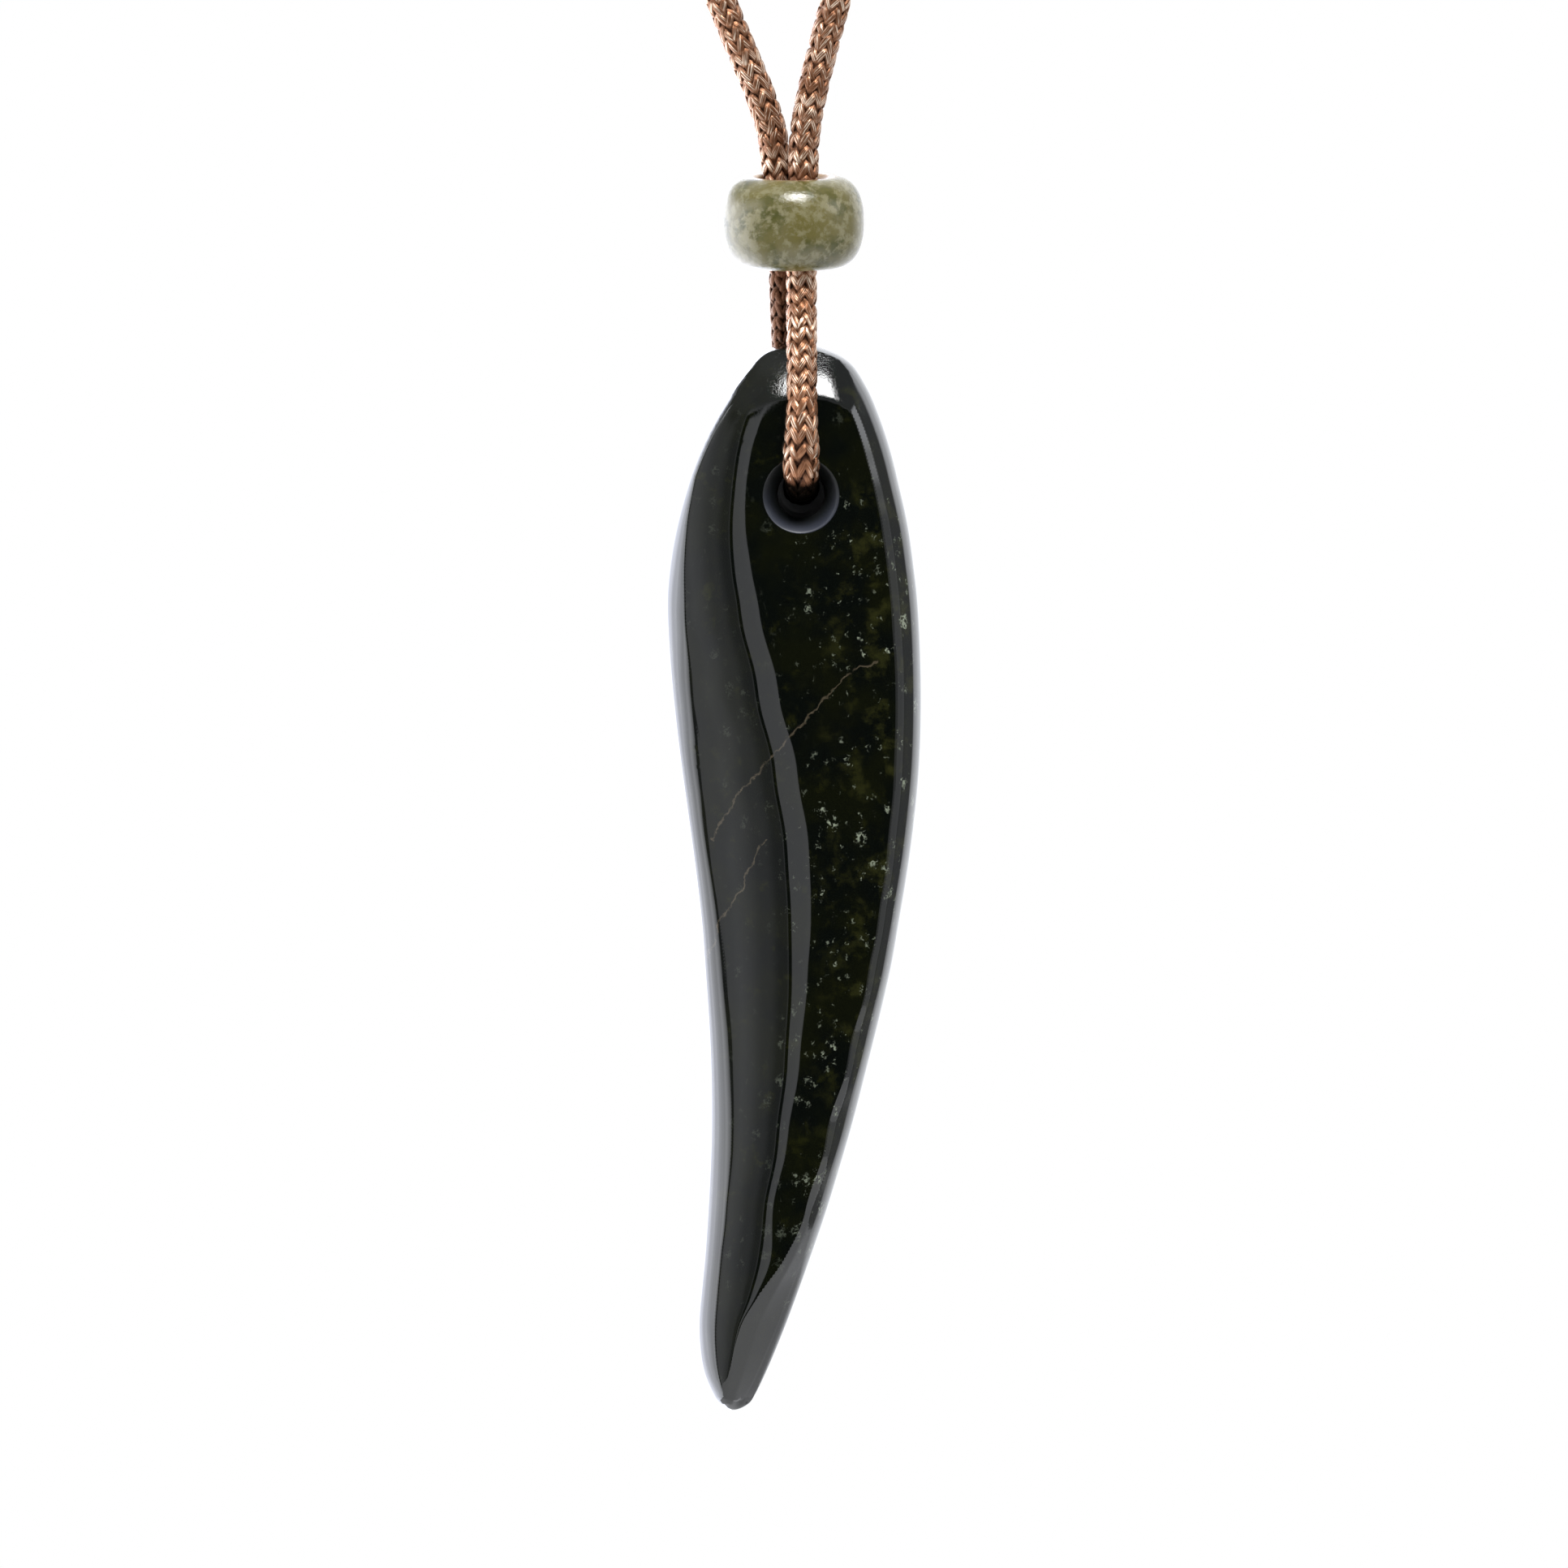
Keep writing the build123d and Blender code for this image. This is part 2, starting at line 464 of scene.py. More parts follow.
class StoneFlecks(EffectGroup):
    """Small torn glints that lie scattered in the stone."""

    name = "stone_flecks"
    inputs = {
        "Place": ("vector", (0.0, 0.0, 0.0)),
        "Scale": ("float", 2.0),
        "Size": ("float", 0.2),
        "Share": ("float", 0.3),
    }
    outputs = {"Mask": "float"}
    tear = (0.75, 0.55, 1.0)
    stretch = (1.25, 1.0, 0.85)
    least_size = 0.25
    fleck_edge = (1.0, 0.45)
    ridge_edge = (0.075, 0.02)

    @classmethod
    def build(cls, graph: Graph, given: object) -> dict[str, Socket]:
        """Keeps some cells of a cell texture and tears their middles into splinters with noise.

        Args:
            graph: Nodes of the group.
            given: Outputs of the group's input node.

        Returns:
            The mask of the flecks.
        """
        drift = graph.drift(given["Place"], 4.5, 3.0, 0.75)
        torn = graph.vector_math("MULTIPLY_ADD", drift, cls.tear, given["Place"])
        stretched = graph.vector_math("MULTIPLY", torn, cls.stretch)
        cells = graph.add("ShaderNodeTexVoronoi", Vector=stretched, Scale=given["Scale"], Randomness=1.0)
        chance = graph.add("ShaderNodeSeparateColor", Color=cells.outputs["Color"])
        kept = graph.math("LESS_THAN", chance.outputs[0], given["Share"])
        reach = graph.times(given["Size"], graph.plus(cls.least_size, chance.outputs[1]))
        inside = graph.math("DIVIDE", cells.outputs["Distance"], reach)
        mask = graph.times(graph.step(inside, *cls.fleck_edge), kept)
        ridge = graph.minus(graph.noise(given["Place"], 2.6, 3.0, 0.6), 0.5)
        splinters = graph.step(graph.math("ABSOLUTE", ridge), *cls.ridge_edge)
        return {"Mask": graph.times(mask, splinters)}


class HairVein(EffectGroup):
    """One hairline vein between two places on the drop's face, as a wandering thin line."""

    name = "hair_vein"
    inputs = {
        "Place": ("vector", (0.0, 0.0, 0.0)),
        "Start": ("vector", (0.0, 0.0, 0.0)),
        "End": ("vector", (0.0, 0.0, 1.0)),
        "Width": ("float", 0.08),
        "Wander": ("float", 0.3),
    }
    outputs = {"Mask": "float"}
    face = (1.0, 0.0, 1.0)
    line_edge = (1.0, 0.2)
    fading = (0.2, 0.6)

    @classmethod
    def build(cls, graph: Graph, given: object) -> dict[str, Socket]:
        """Measures how far each place is from the line, seen from the front.

        Args:
            graph: Nodes of the group.
            given: Outputs of the group's input node.

        Returns:
            The mask of the vein.
        """
        drift = graph.drift(given["Place"], 0.9, 4.0, 0.6)
        place = graph.vector_math("ADD", given["Place"], graph.scaled(drift, given["Wander"]))
        offset, line = (
            graph.vector_math("MULTIPLY", graph.vector_math("SUBTRACT", end, given["Start"]), cls.face)
            for end in (place, given["End"])
        )
        along = graph.vector_math("DOT_PRODUCT", offset, line, output="Value")
        length = graph.vector_math("DOT_PRODUCT", line, line, output="Value")
        share = graph.math("DIVIDE", along, length)
        share = graph.math("MINIMUM", graph.math("MAXIMUM", share, 0.0), 1.0)
        gap = graph.vector_math("DISTANCE", offset, graph.scaled(line, share), output="Value")
        mask = graph.step(graph.math("DIVIDE", gap, given["Width"]), *cls.line_edge)
        uneven = graph.noise(given["Place"], 2.3, 2.0)
        return {"Mask": graph.times(mask, graph.step(uneven, *cls.fading))}


class Polish(EffectGroup):
    """Faint waves, pits and frosted spots that hand polishing leaves, as a height and a roughness."""

    name = "hand_polish"
    inputs = {
        "Place": ("vector", (0.0, 0.0, 0.0)),
        "Base Roughness": ("float", 0.06),
        "Frost": ("float", 0.0),
    }
    outputs = {"Height": "float", "Roughness": "float"}
    wave_height = 0.12
    pit_edge = (0.25, 0.45)
    pit_depth = 0.010
    grain_edge = (0.35, 0.65)
    blotch_edge = (0.45, 0.8)
    blotch_roughness = 0.06

    @classmethod
    def build(cls, graph: Graph, given: object) -> dict[str, Socket]:
        """Adds long waves, small pits and a coarse grain where the frost is.

        Args:
            graph: Nodes of the group.
            given: Outputs of the group's input node.

        Returns:
            The height and the roughness.
        """
        waves = graph.noise(given["Place"], 0.8, 2.0)
        pits = graph.noise(given["Place"], 9.0, 2.0, 0.8)
        height = graph.times(waves, cls.wave_height)
        height = graph.math("MULTIPLY_ADD", graph.step(pits, *cls.pit_edge), cls.pit_depth, height)
        grain = graph.noise(given["Place"], 8.0, 3.0, 0.7)
        frosted = graph.times(graph.step(grain, *cls.grain_edge), given["Frost"])
        blotch = graph.noise(given["Place"], 1.6, 4.0)
        rougher = graph.times(graph.step(blotch, *cls.blotch_edge), cls.blotch_roughness)
        return {
            "Height": graph.plus(height, frosted),
            "Roughness": graph.plus(given["Base Roughness"], rougher),
        }


def start_material(name: str) -> tuple[bpy.types.Material, Graph]:
    """Makes an empty material.

    Args:
        name: Its name.

    Returns:
        The material and its nodes.
    """
    material = bpy.data.materials.new(name)
    material.use_nodes = True
    return material, Graph(material.node_tree)


@dataclass(frozen=True)
class DarkJade:
    """Finish of the drop: near-black green stone with a glass polish, glints, clouds and two hair cracks."""

    hole_x: float
    hole_z: float
    sink_radius: float
    top_z: float
    name: str = "dark_jade_stone"
    dark: tuple = (0.0015, 0.0023, 0.0016, 1.0)
    green: tuple = (0.0034, 0.0042, 0.0013, 1.0)
    olive: tuple = (0.011, 0.012, 0.0025, 1.0)
    haze: tuple = (0.021, 0.022, 0.0055, 1.0)
    glint: tuple = (0.24, 0.27, 0.20, 1.0)
    vein: tuple = (0.085, 0.068, 0.045, 1.0)
    ground: tuple = (0.024, 0.028, 0.042, 1.0)
    refraction: float = 1.62
    roughness: float = 0.045
    ground_roughness: float = 0.42
    ground_edge: tuple = (0.08, 0.02)
    painted_lit_width: float = 0.66
    painted_lit_heights: tuple = (1.3, -1.7)
    vein_width: float = 0.078
    vein_wander: float = 1.1
    vein_share: float = 0.68
    frost: float = 0.10
    frost_below_top: tuple = (4.2, 3.0)
    frost_beside_hole: tuple = (3.0, 1.6)
    bump_depth: float = 0.02
    fleck_x: tuple = (-1.4, 2.2)
    fleck_z: tuple = (-219.0, -226.0)
    fleck_elsewhere: float = 0.08
    fleck_drift: tuple = (0.34, 0.52)
    small_fleck_share: float = 0.55
    haze_x: tuple = (0.5, 4.5)
    haze_drift: tuple = (0.50, 0.70)
    haze_least: float = 0.25
    haze_gain: float = 0.6
    cracks: tuple = (
        ((4.4, -230.9), (2.7, -231.7), (1.0, -233.6), (-1.0, -235.9), (-2.7, -237.7), (-4.0, -240.2)),
        ((-1.4, -240.3), (-2.6, -242.7), (-3.8, -244.8), (-4.3, -246.4)),
    )

    def material(self) -> bpy.types.Material:
        """Builds the material.

        Returns:
            The finished material.
        """
        material, graph = start_material(self.name)
        place = millimetre_place(graph)
        x, _, z = graph.split(place)
        colour = self.stone(graph, place, x, z)
        for crack in self.cracks:
            for start, end in zip(crack, crack[1:]):
                hair = HairVein.place(
                    graph, Place=place, Start=(start[0], 0.0, start[1]), End=(end[0], 0.0, end[1]),
                    Width=self.vein_width, Wander=self.vein_wander)
                colour = graph.mix(graph.times(hair.outputs["Mask"], self.vein_share), colour, self.vein)
        across = graph.minus(x, self.hole_x)
        radius = graph.radius(across, graph.minus(z, self.hole_z))
        sunk = graph.step(radius, *(self.sink_radius + edge for edge in self.ground_edge))
        # Painted light and shade in the countersink: the ground colour shows only on its lower part away
        # from the bore; higher up and next to the bore it keeps the dark stone colour.
        lit = graph.step(z, *(self.hole_z + height for height in self.painted_lit_heights))
        lit = graph.times(lit, graph.step(radius, self.sink_radius - self.painted_lit_width, self.sink_radius))
        colour = graph.mix(sunk, colour, graph.mix(lit, self.dark, self.ground))
        beside = graph.step(graph.math("ABSOLUTE", across), *self.frost_beside_hole)
        high = graph.step(z, *(self.top_z - fall for fall in self.frost_below_top))
        frost = graph.times(graph.times(high, beside), self.frost)
        polish = Polish.place(graph, Place=place, Base_Roughness=self.roughness, Frost=frost)
        rougher = graph.times(sunk, self.ground_roughness)
        graph.surface(polish.outputs["Height"], self.bump_depth, Base_Color=colour, IOR=self.refraction,
                      Roughness=graph.plus(polish.outputs["Roughness"], rougher))
        return material

    def stone(self, graph: Graph, place: Socket, x: Socket, z: Socket) -> Socket:
        """Colour of the stone with its clouds, haze and glints.

        Args:
            graph: Nodes of the material.
            place: Place in millimetres.
            x: Its part to the right.
            z: Its part upwards.

        Returns:
            The colour.
        """
        clouds = StoneClouds.place(
            graph, Place=place, Scale=0.30, Dark=self.dark, Middle=self.green, Light=self.olive,
            Middle_Share=0.50, Light_Share=0.36)
        zone = graph.times(graph.step(x, *self.fleck_x), graph.step(z, *self.fleck_z))
        zone = graph.math("MULTIPLY_ADD", zone, 1 - self.fleck_elsewhere, self.fleck_elsewhere)
        drift = graph.noise(place, 0.75, 4.0, 0.65)
        edge = graph.math("MULTIPLY_ADD", graph.step(x, *self.haze_x), self.haze_gain, self.haze_least)
        hazy = graph.times(graph.step(drift, *self.haze_drift), edge)
        colour = graph.mix(graph.times(hazy, zone), clouds.outputs["Color"], self.haze)
        gathered = graph.times(graph.step(drift, *self.fleck_drift), zone)
        small = StoneFlecks.place(graph, Place=place, Scale=2.3, Size=0.42, Share=0.36)
        large = StoneFlecks.place(graph, Place=place, Scale=1.15, Size=0.42, Share=0.38)
        small_mask = graph.times(small.outputs["Mask"], self.small_fleck_share)
        mask = graph.math("MAXIMUM", small_mask, large.outputs["Mask"])
        return graph.mix(graph.times(mask, gathered), colour, self.glint)


@dataclass(frozen=True)
class PaleJade:
    """Finish of the bead: mottled olive stone that lets light through, with a glow painted round the bore's
    mouths.
    """

    name: str = "pale_jade_stone"
    dark: tuple = (0.070, 0.070, 0.012, 1.0)
    middle: tuple = (0.140, 0.122, 0.038, 1.0)
    light: tuple = (0.225, 0.205, 0.110, 1.0)
    painted_lip_glow: tuple = (0.46, 0.31, 0.20, 1.0)
    painted_glow_radii: tuple = (2.6, 2.0)
    painted_glow_share: float = 0.8
    fleck_share: float = 0.5
    frost: float = 0.22
    bump_depth: float = 0.02
    refraction: float = 1.61
    roughness: float = 0.15
    glow: float = 0.75
    glow_depths: tuple = (1.0, 1.0, 0.6)
    glow_scale: float = 0.9

    def material(self) -> bpy.types.Material:
        """Builds the material.

        Returns:
            The finished material.
        """
        material, graph = start_material(self.name)
        place = millimetre_place(graph)
        x, y, _ = graph.split(place)
        clouds = StoneClouds.place(
            graph, Place=place, Scale=0.55, Dark=self.dark, Middle=self.middle, Light=self.light,
            Middle_Share=0.55, Light_Share=0.48)
        flecks = StoneFlecks.place(graph, Place=place, Scale=1.1, Size=0.30, Share=0.4)
        share = graph.times(flecks.outputs["Mask"], self.fleck_share)
        colour = graph.mix(share, clouds.outputs["Color"], self.light)
        # Painted glow: a warm pale brown round the bore's mouths stands in for light through the stone and
        # for the cord seen through it.
        painted_glow_mask = graph.times(graph.step(graph.radius(x, y), *self.painted_glow_radii), self.painted_glow_share)
        polish = Polish.place(graph, Place=place, Base_Roughness=self.roughness, Frost=self.frost)
        colour = graph.mix(painted_glow_mask, colour, self.painted_lip_glow)
        graph.surface(polish.outputs["Height"], self.bump_depth, Base_Color=colour, IOR=self.refraction,
                      Roughness=polish.outputs["Roughness"], Subsurface_Weight=self.glow,
                      Subsurface_Radius=self.glow_depths, Subsurface_Scale=self.glow_scale * MM)
        return material


@dataclass(frozen=True)
class SatinBraid:
    """Finish of the cord: copper brown nylon yarn with fine filaments and a silky shine, with painted
    glints, sheen and shade.
    """

    name: str = "braided_nylon"
    deep: tuple = (0.004, 0.002, 0.001, 1.0)
    shadow: tuple = (0.045, 0.017, 0.008, 1.0)
    brown: tuple = (0.118, 0.044, 0.018, 1.0)
    base: tuple = (0.230, 0.094, 0.043, 1.0)
    shine: tuple = (0.48, 0.235, 0.128, 1.0)
    glint: tuple = (1.0, 0.82, 0.64, 1.0)
    filaments: float = 11.0
    filament_stretch: float = 0.35
    shine_strands: tuple = (0.38, 0.66)
    glint_strands: tuple = (0.51, 0.60)
    glint_flank: tuple = (0.17, 0.05)
    glint_lift: tuple = (0.80, 1.0)
    glint_tones: tuple = (0.85, 0.6)
    brown_tones: tuple = (0.0, 1.1)
    hole_shade_tones: tuple = (0.9, 1.8)
    flank_edge: tuple = (0.13, 0.25)
    flank_share: float = 0.85
    shadow_lift: tuple = (0.30, 0.85)
    metal: float = 0.65
    hole_shade_metal: float = 0.35
    roughness: float = 0.27
    specular: float = 0.45
    specular_tint: tuple = (1.0, 0.90, 0.80, 1.0)
    bump_depth: float = 0.05
    bump_strength: float = 0.8

    def material(self) -> bpy.types.Material:
        """Builds the material.

        Returns:
            The finished material.
        """
        material, graph = start_material(self.name)
        x, y, _ = graph.split(graph.add("ShaderNodeUVMap", {"uv_map": Braid.LAYOUT}).outputs["UV"])
        across, along = graph.times(x, self.filaments), graph.times(y, self.filament_stretch)
        threads = graph.add("ShaderNodeCombineXYZ", X=across, Y=along)
        strands = graph.noise(threads.outputs[0], 2.2, 3.0, 0.6)
        lift, tone = (graph.add("ShaderNodeAttribute", {"attribute_name": name}).outputs["Fac"]
                      for name in (Braid.LIFT, Braid.TONE_AND_SHADE))
        flank = graph.math("ABSOLUTE", graph.minus(x, 0.5))
        # Painted glints on the crowns of the yarns; the flank and lift masks further down paint shadow
        # between the yarns.
        crown = graph.times(graph.step(flank, *self.glint_flank), graph.step(lift, *self.glint_lift))
        lit = graph.times(crown, graph.step(strands, *self.glint_strands))
        # Painted shade inside the hole: the yarn turns near black and more metallic there, so it shows no
        # white gloss.
        painted_hole_shade = graph.step(tone, *self.hole_shade_tones)
        # Lighter filament streaks, partly fibre tone and partly painted sheen.
        colour = graph.mix(graph.step(strands, *self.shine_strands), self.base, self.shine)
        # The tone attribute holds the yarns' random tone and the painted shade on the rear leg and above the
        # bead; both mix in the darker brown.
        colour = graph.mix(graph.step(tone, *self.brown_tones), colour, self.brown)
        colour = graph.mix(graph.times(lit, graph.step(tone, *self.glint_tones)), colour, self.glint)
        beside = graph.times(graph.step(flank, *self.flank_edge), self.flank_share)
        colour = graph.mix(beside, colour, self.shadow)
        colour = graph.mix(graph.step(lift, *self.shadow_lift), self.shadow, colour)
        colour = graph.mix(painted_hole_shade, colour, self.deep)
        metal = graph.math("MULTIPLY_ADD", painted_hole_shade, self.hole_shade_metal, self.metal)
        graph.surface(strands, self.bump_depth, self.bump_strength, Base_Color=colour, Metallic=metal,
                      Roughness=self.roughness, Specular_IOR_Level=self.specular,
                      Specular_Tint=self.specular_tint)
        return material


class CordPath:
    """Smooth centre line of a cord, with a cross direction carried along it without twist."""

    LEAST_STEP = 1e-6

    def __init__(self, points: np.ndarray, across: tuple[float, float, float], pitch: float) -> None:
        """Evens out the points and carries the frame.

        Args:
            points: Points along the line in millimetres.
            across: Rough first cross direction.
            pitch: Distance between the kept points.
        """
        steps = np.linalg.norm(np.diff(points, axis=0), axis=1)
        moved = steps > self.LEAST_STEP
        reach = np.concatenate([[0.0], np.cumsum(steps[moved])])
        self.length = float(reach[-1])
        self.stations = even_stations(0.0, self.length, pitch)
        self.points = read_rows(self.stations, reach, points[np.concatenate([[True], moved])])
        self.tangents = unit(np.gradient(self.points, axis=0))
        self.normals = self.carry(Vector(across))
        self.sides = np.cross(self.tangents, self.normals)

    def carry(self, across: Vector) -> np.ndarray:
        """Moves the first cross direction along the line, turning it only as the line bends.

        Args:
            across: Rough first cross direction.

        Returns:
            One cross direction for each point.
        """
        tangent = Vector(self.tangents[0])
        normal = (across - across.dot(tangent) * tangent).normalized()
        normals = [normal]
        for row in self.tangents[1:]:
            following = Vector(row)
            normal = tangent.rotation_difference(following) @ normal
            normal = (normal - normal.dot(following) * following).normalized()
            normals.append(normal)
            tangent = following
        return np.array([normal[:] for normal in normals])

    def read(self, stations: np.ndarray) -> tuple[np.ndarray, np.ndarray, np.ndarray]:
        """Place and both cross directions at some distances along the line.

        Args:
            stations: Distances from the start.

        Returns:
            Places, normals and sides, a row for each distance.
        """
        places, normals, sides = (
            read_rows(stations, self.stations, table) for table in (self.points, self.normals, self.sides))
        return places, unit(normals), unit(sides)


@dataclass
class Braid:
    """Round braid of yarns that pass over two and under two, on a plain core."""

    diameter: float
    lay: float = 8.9
    yarns_each_way: int = 12
    yarn_width: float = 0.41
    yarn_thickness: float = 0.19
    yarn_swell: float = 0.10
    weave_depth: float = 0.080
    weave_ease: float = 0.15
    wander: float = 0.085
    wander_rate: float = 1.9
    wander_shift: float = 2.4
    core_share: float = 0.76
    sides: int = 8
    lift_start: float = 0.6
    drift_rates: tuple = (0.5, 1.1)
    drift_starts: tuple = (0.0, 6.0)
    drift_shares: tuple = (0.2, 1.0)
    drift_tone: float = 0.7

    LAYOUT = "yarn_layout"
    LIFT = "lift"
    TONE_AND_SHADE = "tone"
    CORE_SIDES = 12
    SEED = 7

    def yarn(self, path: CordPath, stations: np.ndarray, number: int, twist: Twist,
             scales: tuple[np.ndarray, ...]) -> tuple[np.ndarray, np.ndarray]:
        """Tube of one yarn.

        Args:
            path: Centre line of the cord.
            stations: Distances along it.
            number: Which yarn of its direction.
            twist: Direction that the yarn runs round the cord.
            scales: The cord's scales across and in depth, and its shade, at each distance.

        Returns:
            Vertices as stations by sides by 3, and how far out each lies, 0 to 1.
        """
        places, normals, sides = path.read(stations)
        turn = 2 * math.pi * (number / self.yarns_each_way + twist.value * stations / self.lay)
        swing = np.sin(self.wander_rate * stations + self.wander_shift * number + twist.value)
        turn = turn + self.wander * swing
        middle = (self.diameter - self.yarn_thickness) / 2 - self.weave_depth
        weave = np.cos(self.yarns_each_way / 2 * turn) * twist.value
        ease = np.sqrt(self.weave_ease + (1 - self.weave_ease) * weave ** 2)
        radius = middle + self.weave_depth * weave / ease
        cosine, sine = np.cos(turn)[:, None], np.sin(turn)[:, None]
        wide, deep = (scale[:, None] for scale in scales[:2])
        squashed = normals * (cosine * deep) + sides * (sine * wide)
        centre = places + squashed * radius[:, None]
        forward = unit(np.gradient(centre, axis=0))
        across = unit(np.cross(forward, normals * cosine + sides * sine))
        rise = np.cross(across, forward)
        angles = full_turn(self.sides) - math.pi / 2
        fullness = 1 + self.yarn_swell * weave
        half_width = (self.yarn_width / 2 * fullness)[:, None, None]
        half_rise = (self.yarn_thickness / 2 * fullness)[:, None, None]
        rings = (centre[:, None, :] + across[:, None, :] * np.cos(angles)[None, :, None] * half_width
                 + rise[:, None, :] * np.sin(angles)[None, :, None] * half_rise)
        distance = np.linalg.norm(rings - places[:, None, :], axis=2)
        lift = (distance / (self.diameter / 2) - self.lift_start) / (1 - self.lift_start)
        return rings, np.clip(lift, 0.0, 1.0)

    def core(self, path: CordPath, stations: np.ndarray, scales: tuple[np.ndarray, ...]) -> np.ndarray:
        """Plain tube that closes the gaps between the yarns.

        Args:
            path: Centre line of the cord.
            stations: Distances along it.
            scales: The cord's scales across and in depth, and its shade, at each distance.

        Returns:
            Vertices as stations by sides by 3.
        """
        places, normals, sides = path.read(stations)
        angles = full_turn(self.CORE_SIDES)
        wide, deep = (scale[:, None, None] for scale in scales[:2])
        ring = normals[:, None, :] * np.cos(angles)[None, :, None] * deep
        ring = ring + sides[:, None, :] * np.sin(angles)[None, :, None] * wide
        return places[:, None, :] + ring * (self.diameter / 2 * self.core_share)

    def piece(self, name: str, path: CordPath, ends: tuple[float, float], pitch: float, body: Body,
              shape_at: Callable | None = None) -> bpy.types.Object:
        """Braided cord between two distances along its centre line, as one mesh.

        Args:
            name: Piece name.
            path: Centre line of the cord.
            ends: First and last distance along it.
            pitch: Distance between the rings of a yarn.
            body: Body that carries the piece.
            shape_at: Function from distances to the cord's scales across and in depth and its shade.

        Returns:
            The new object, with its yarn layout, lift, and tone with painted shade, for the finish.
        """
        stations = even_stations(*ends, pitch)
        count = len(stations)
        scales = shape_at(stations) if shape_at else (np.ones(count), np.ones(count), np.zeros(count))
        vertices, faces, layout, lifts, tones = [], [], [], [], []
        chance = np.random.default_rng(self.SEED)
        for twist in Twist:
            for number in range(self.yarns_each_way):
                rings, lift = self.yarn(path, stations, number, twist, scales)
                self.join(rings, stations, len(vertices) * count * self.sides, faces, layout)
                vertices.append(rings.reshape(-1, 3))
                lifts.append(lift.ravel())
                swing = stations * chance.uniform(*self.drift_rates) + chance.uniform(*self.drift_starts)
                drift = 0.5 + 0.5 * np.sin(swing)
                tone = np.maximum(self.drift_tone * chance.uniform(*self.drift_shares) * drift, scales[2])
                tones.append(np.repeat(tone, self.sides))
        tube = self.core(path, stations, scales)
        self.join(tube, stations, len(vertices) * count * self.sides, faces, layout)
        vertices.append(tube.reshape(-1, 3))
        lifts.append(np.zeros(count * self.CORE_SIDES))
        tones.append(np.ones(count * self.CORE_SIDES))
        piece = new_piece(name, np.concatenate(vertices), np.concatenate(faces).tolist(), body)
        mesh = piece.data
        uv = mesh.uv_layers.new(name=self.LAYOUT)
        uv.data.foreach_set("uv", np.concatenate(layout).ravel())
        for attribute, values in ((self.LIFT, lifts), (self.TONE_AND_SHADE, tones)):
            store = mesh.attributes.new(attribute, "FLOAT", "POINT")
            store.data.foreach_set("value", np.concatenate(values))
        return piece

    @staticmethod
    def join(rings: np.ndarray, stations: np.ndarray, first: int, faces: list, layout: list) -> None:
        """Adds the quads between the rings of one tube, with their layout.

        Args:
            rings: Vertices as stations by sides by 3.
            stations: Distance along the cord of each ring.
            first: Number of the tube's first vertex.
            faces: Face list that grows.
            layout: Layout list that grows, four corners a face.
        """
        count, sides = rings.shape[:2]
        row, column = np.meshgrid(np.arange(count - 1), np.arange(sides), indexing="ij")
        beside = (column + 1) % sides
        corners = [
            row * sides + column, row * sides + beside,
            (row + 1) * sides + beside, (row + 1) * sides + column,
        ]
        faces.append(first + np.stack(corners, axis=-1).reshape(-1, 4))
        left, right = column / sides, (column + 1) / sides
        low, high = stations[row], stations[row + 1]
        places = [left, low, right, low, right, high, left, high]
        layout.append(np.stack(places, axis=-1).reshape(-1, 2))


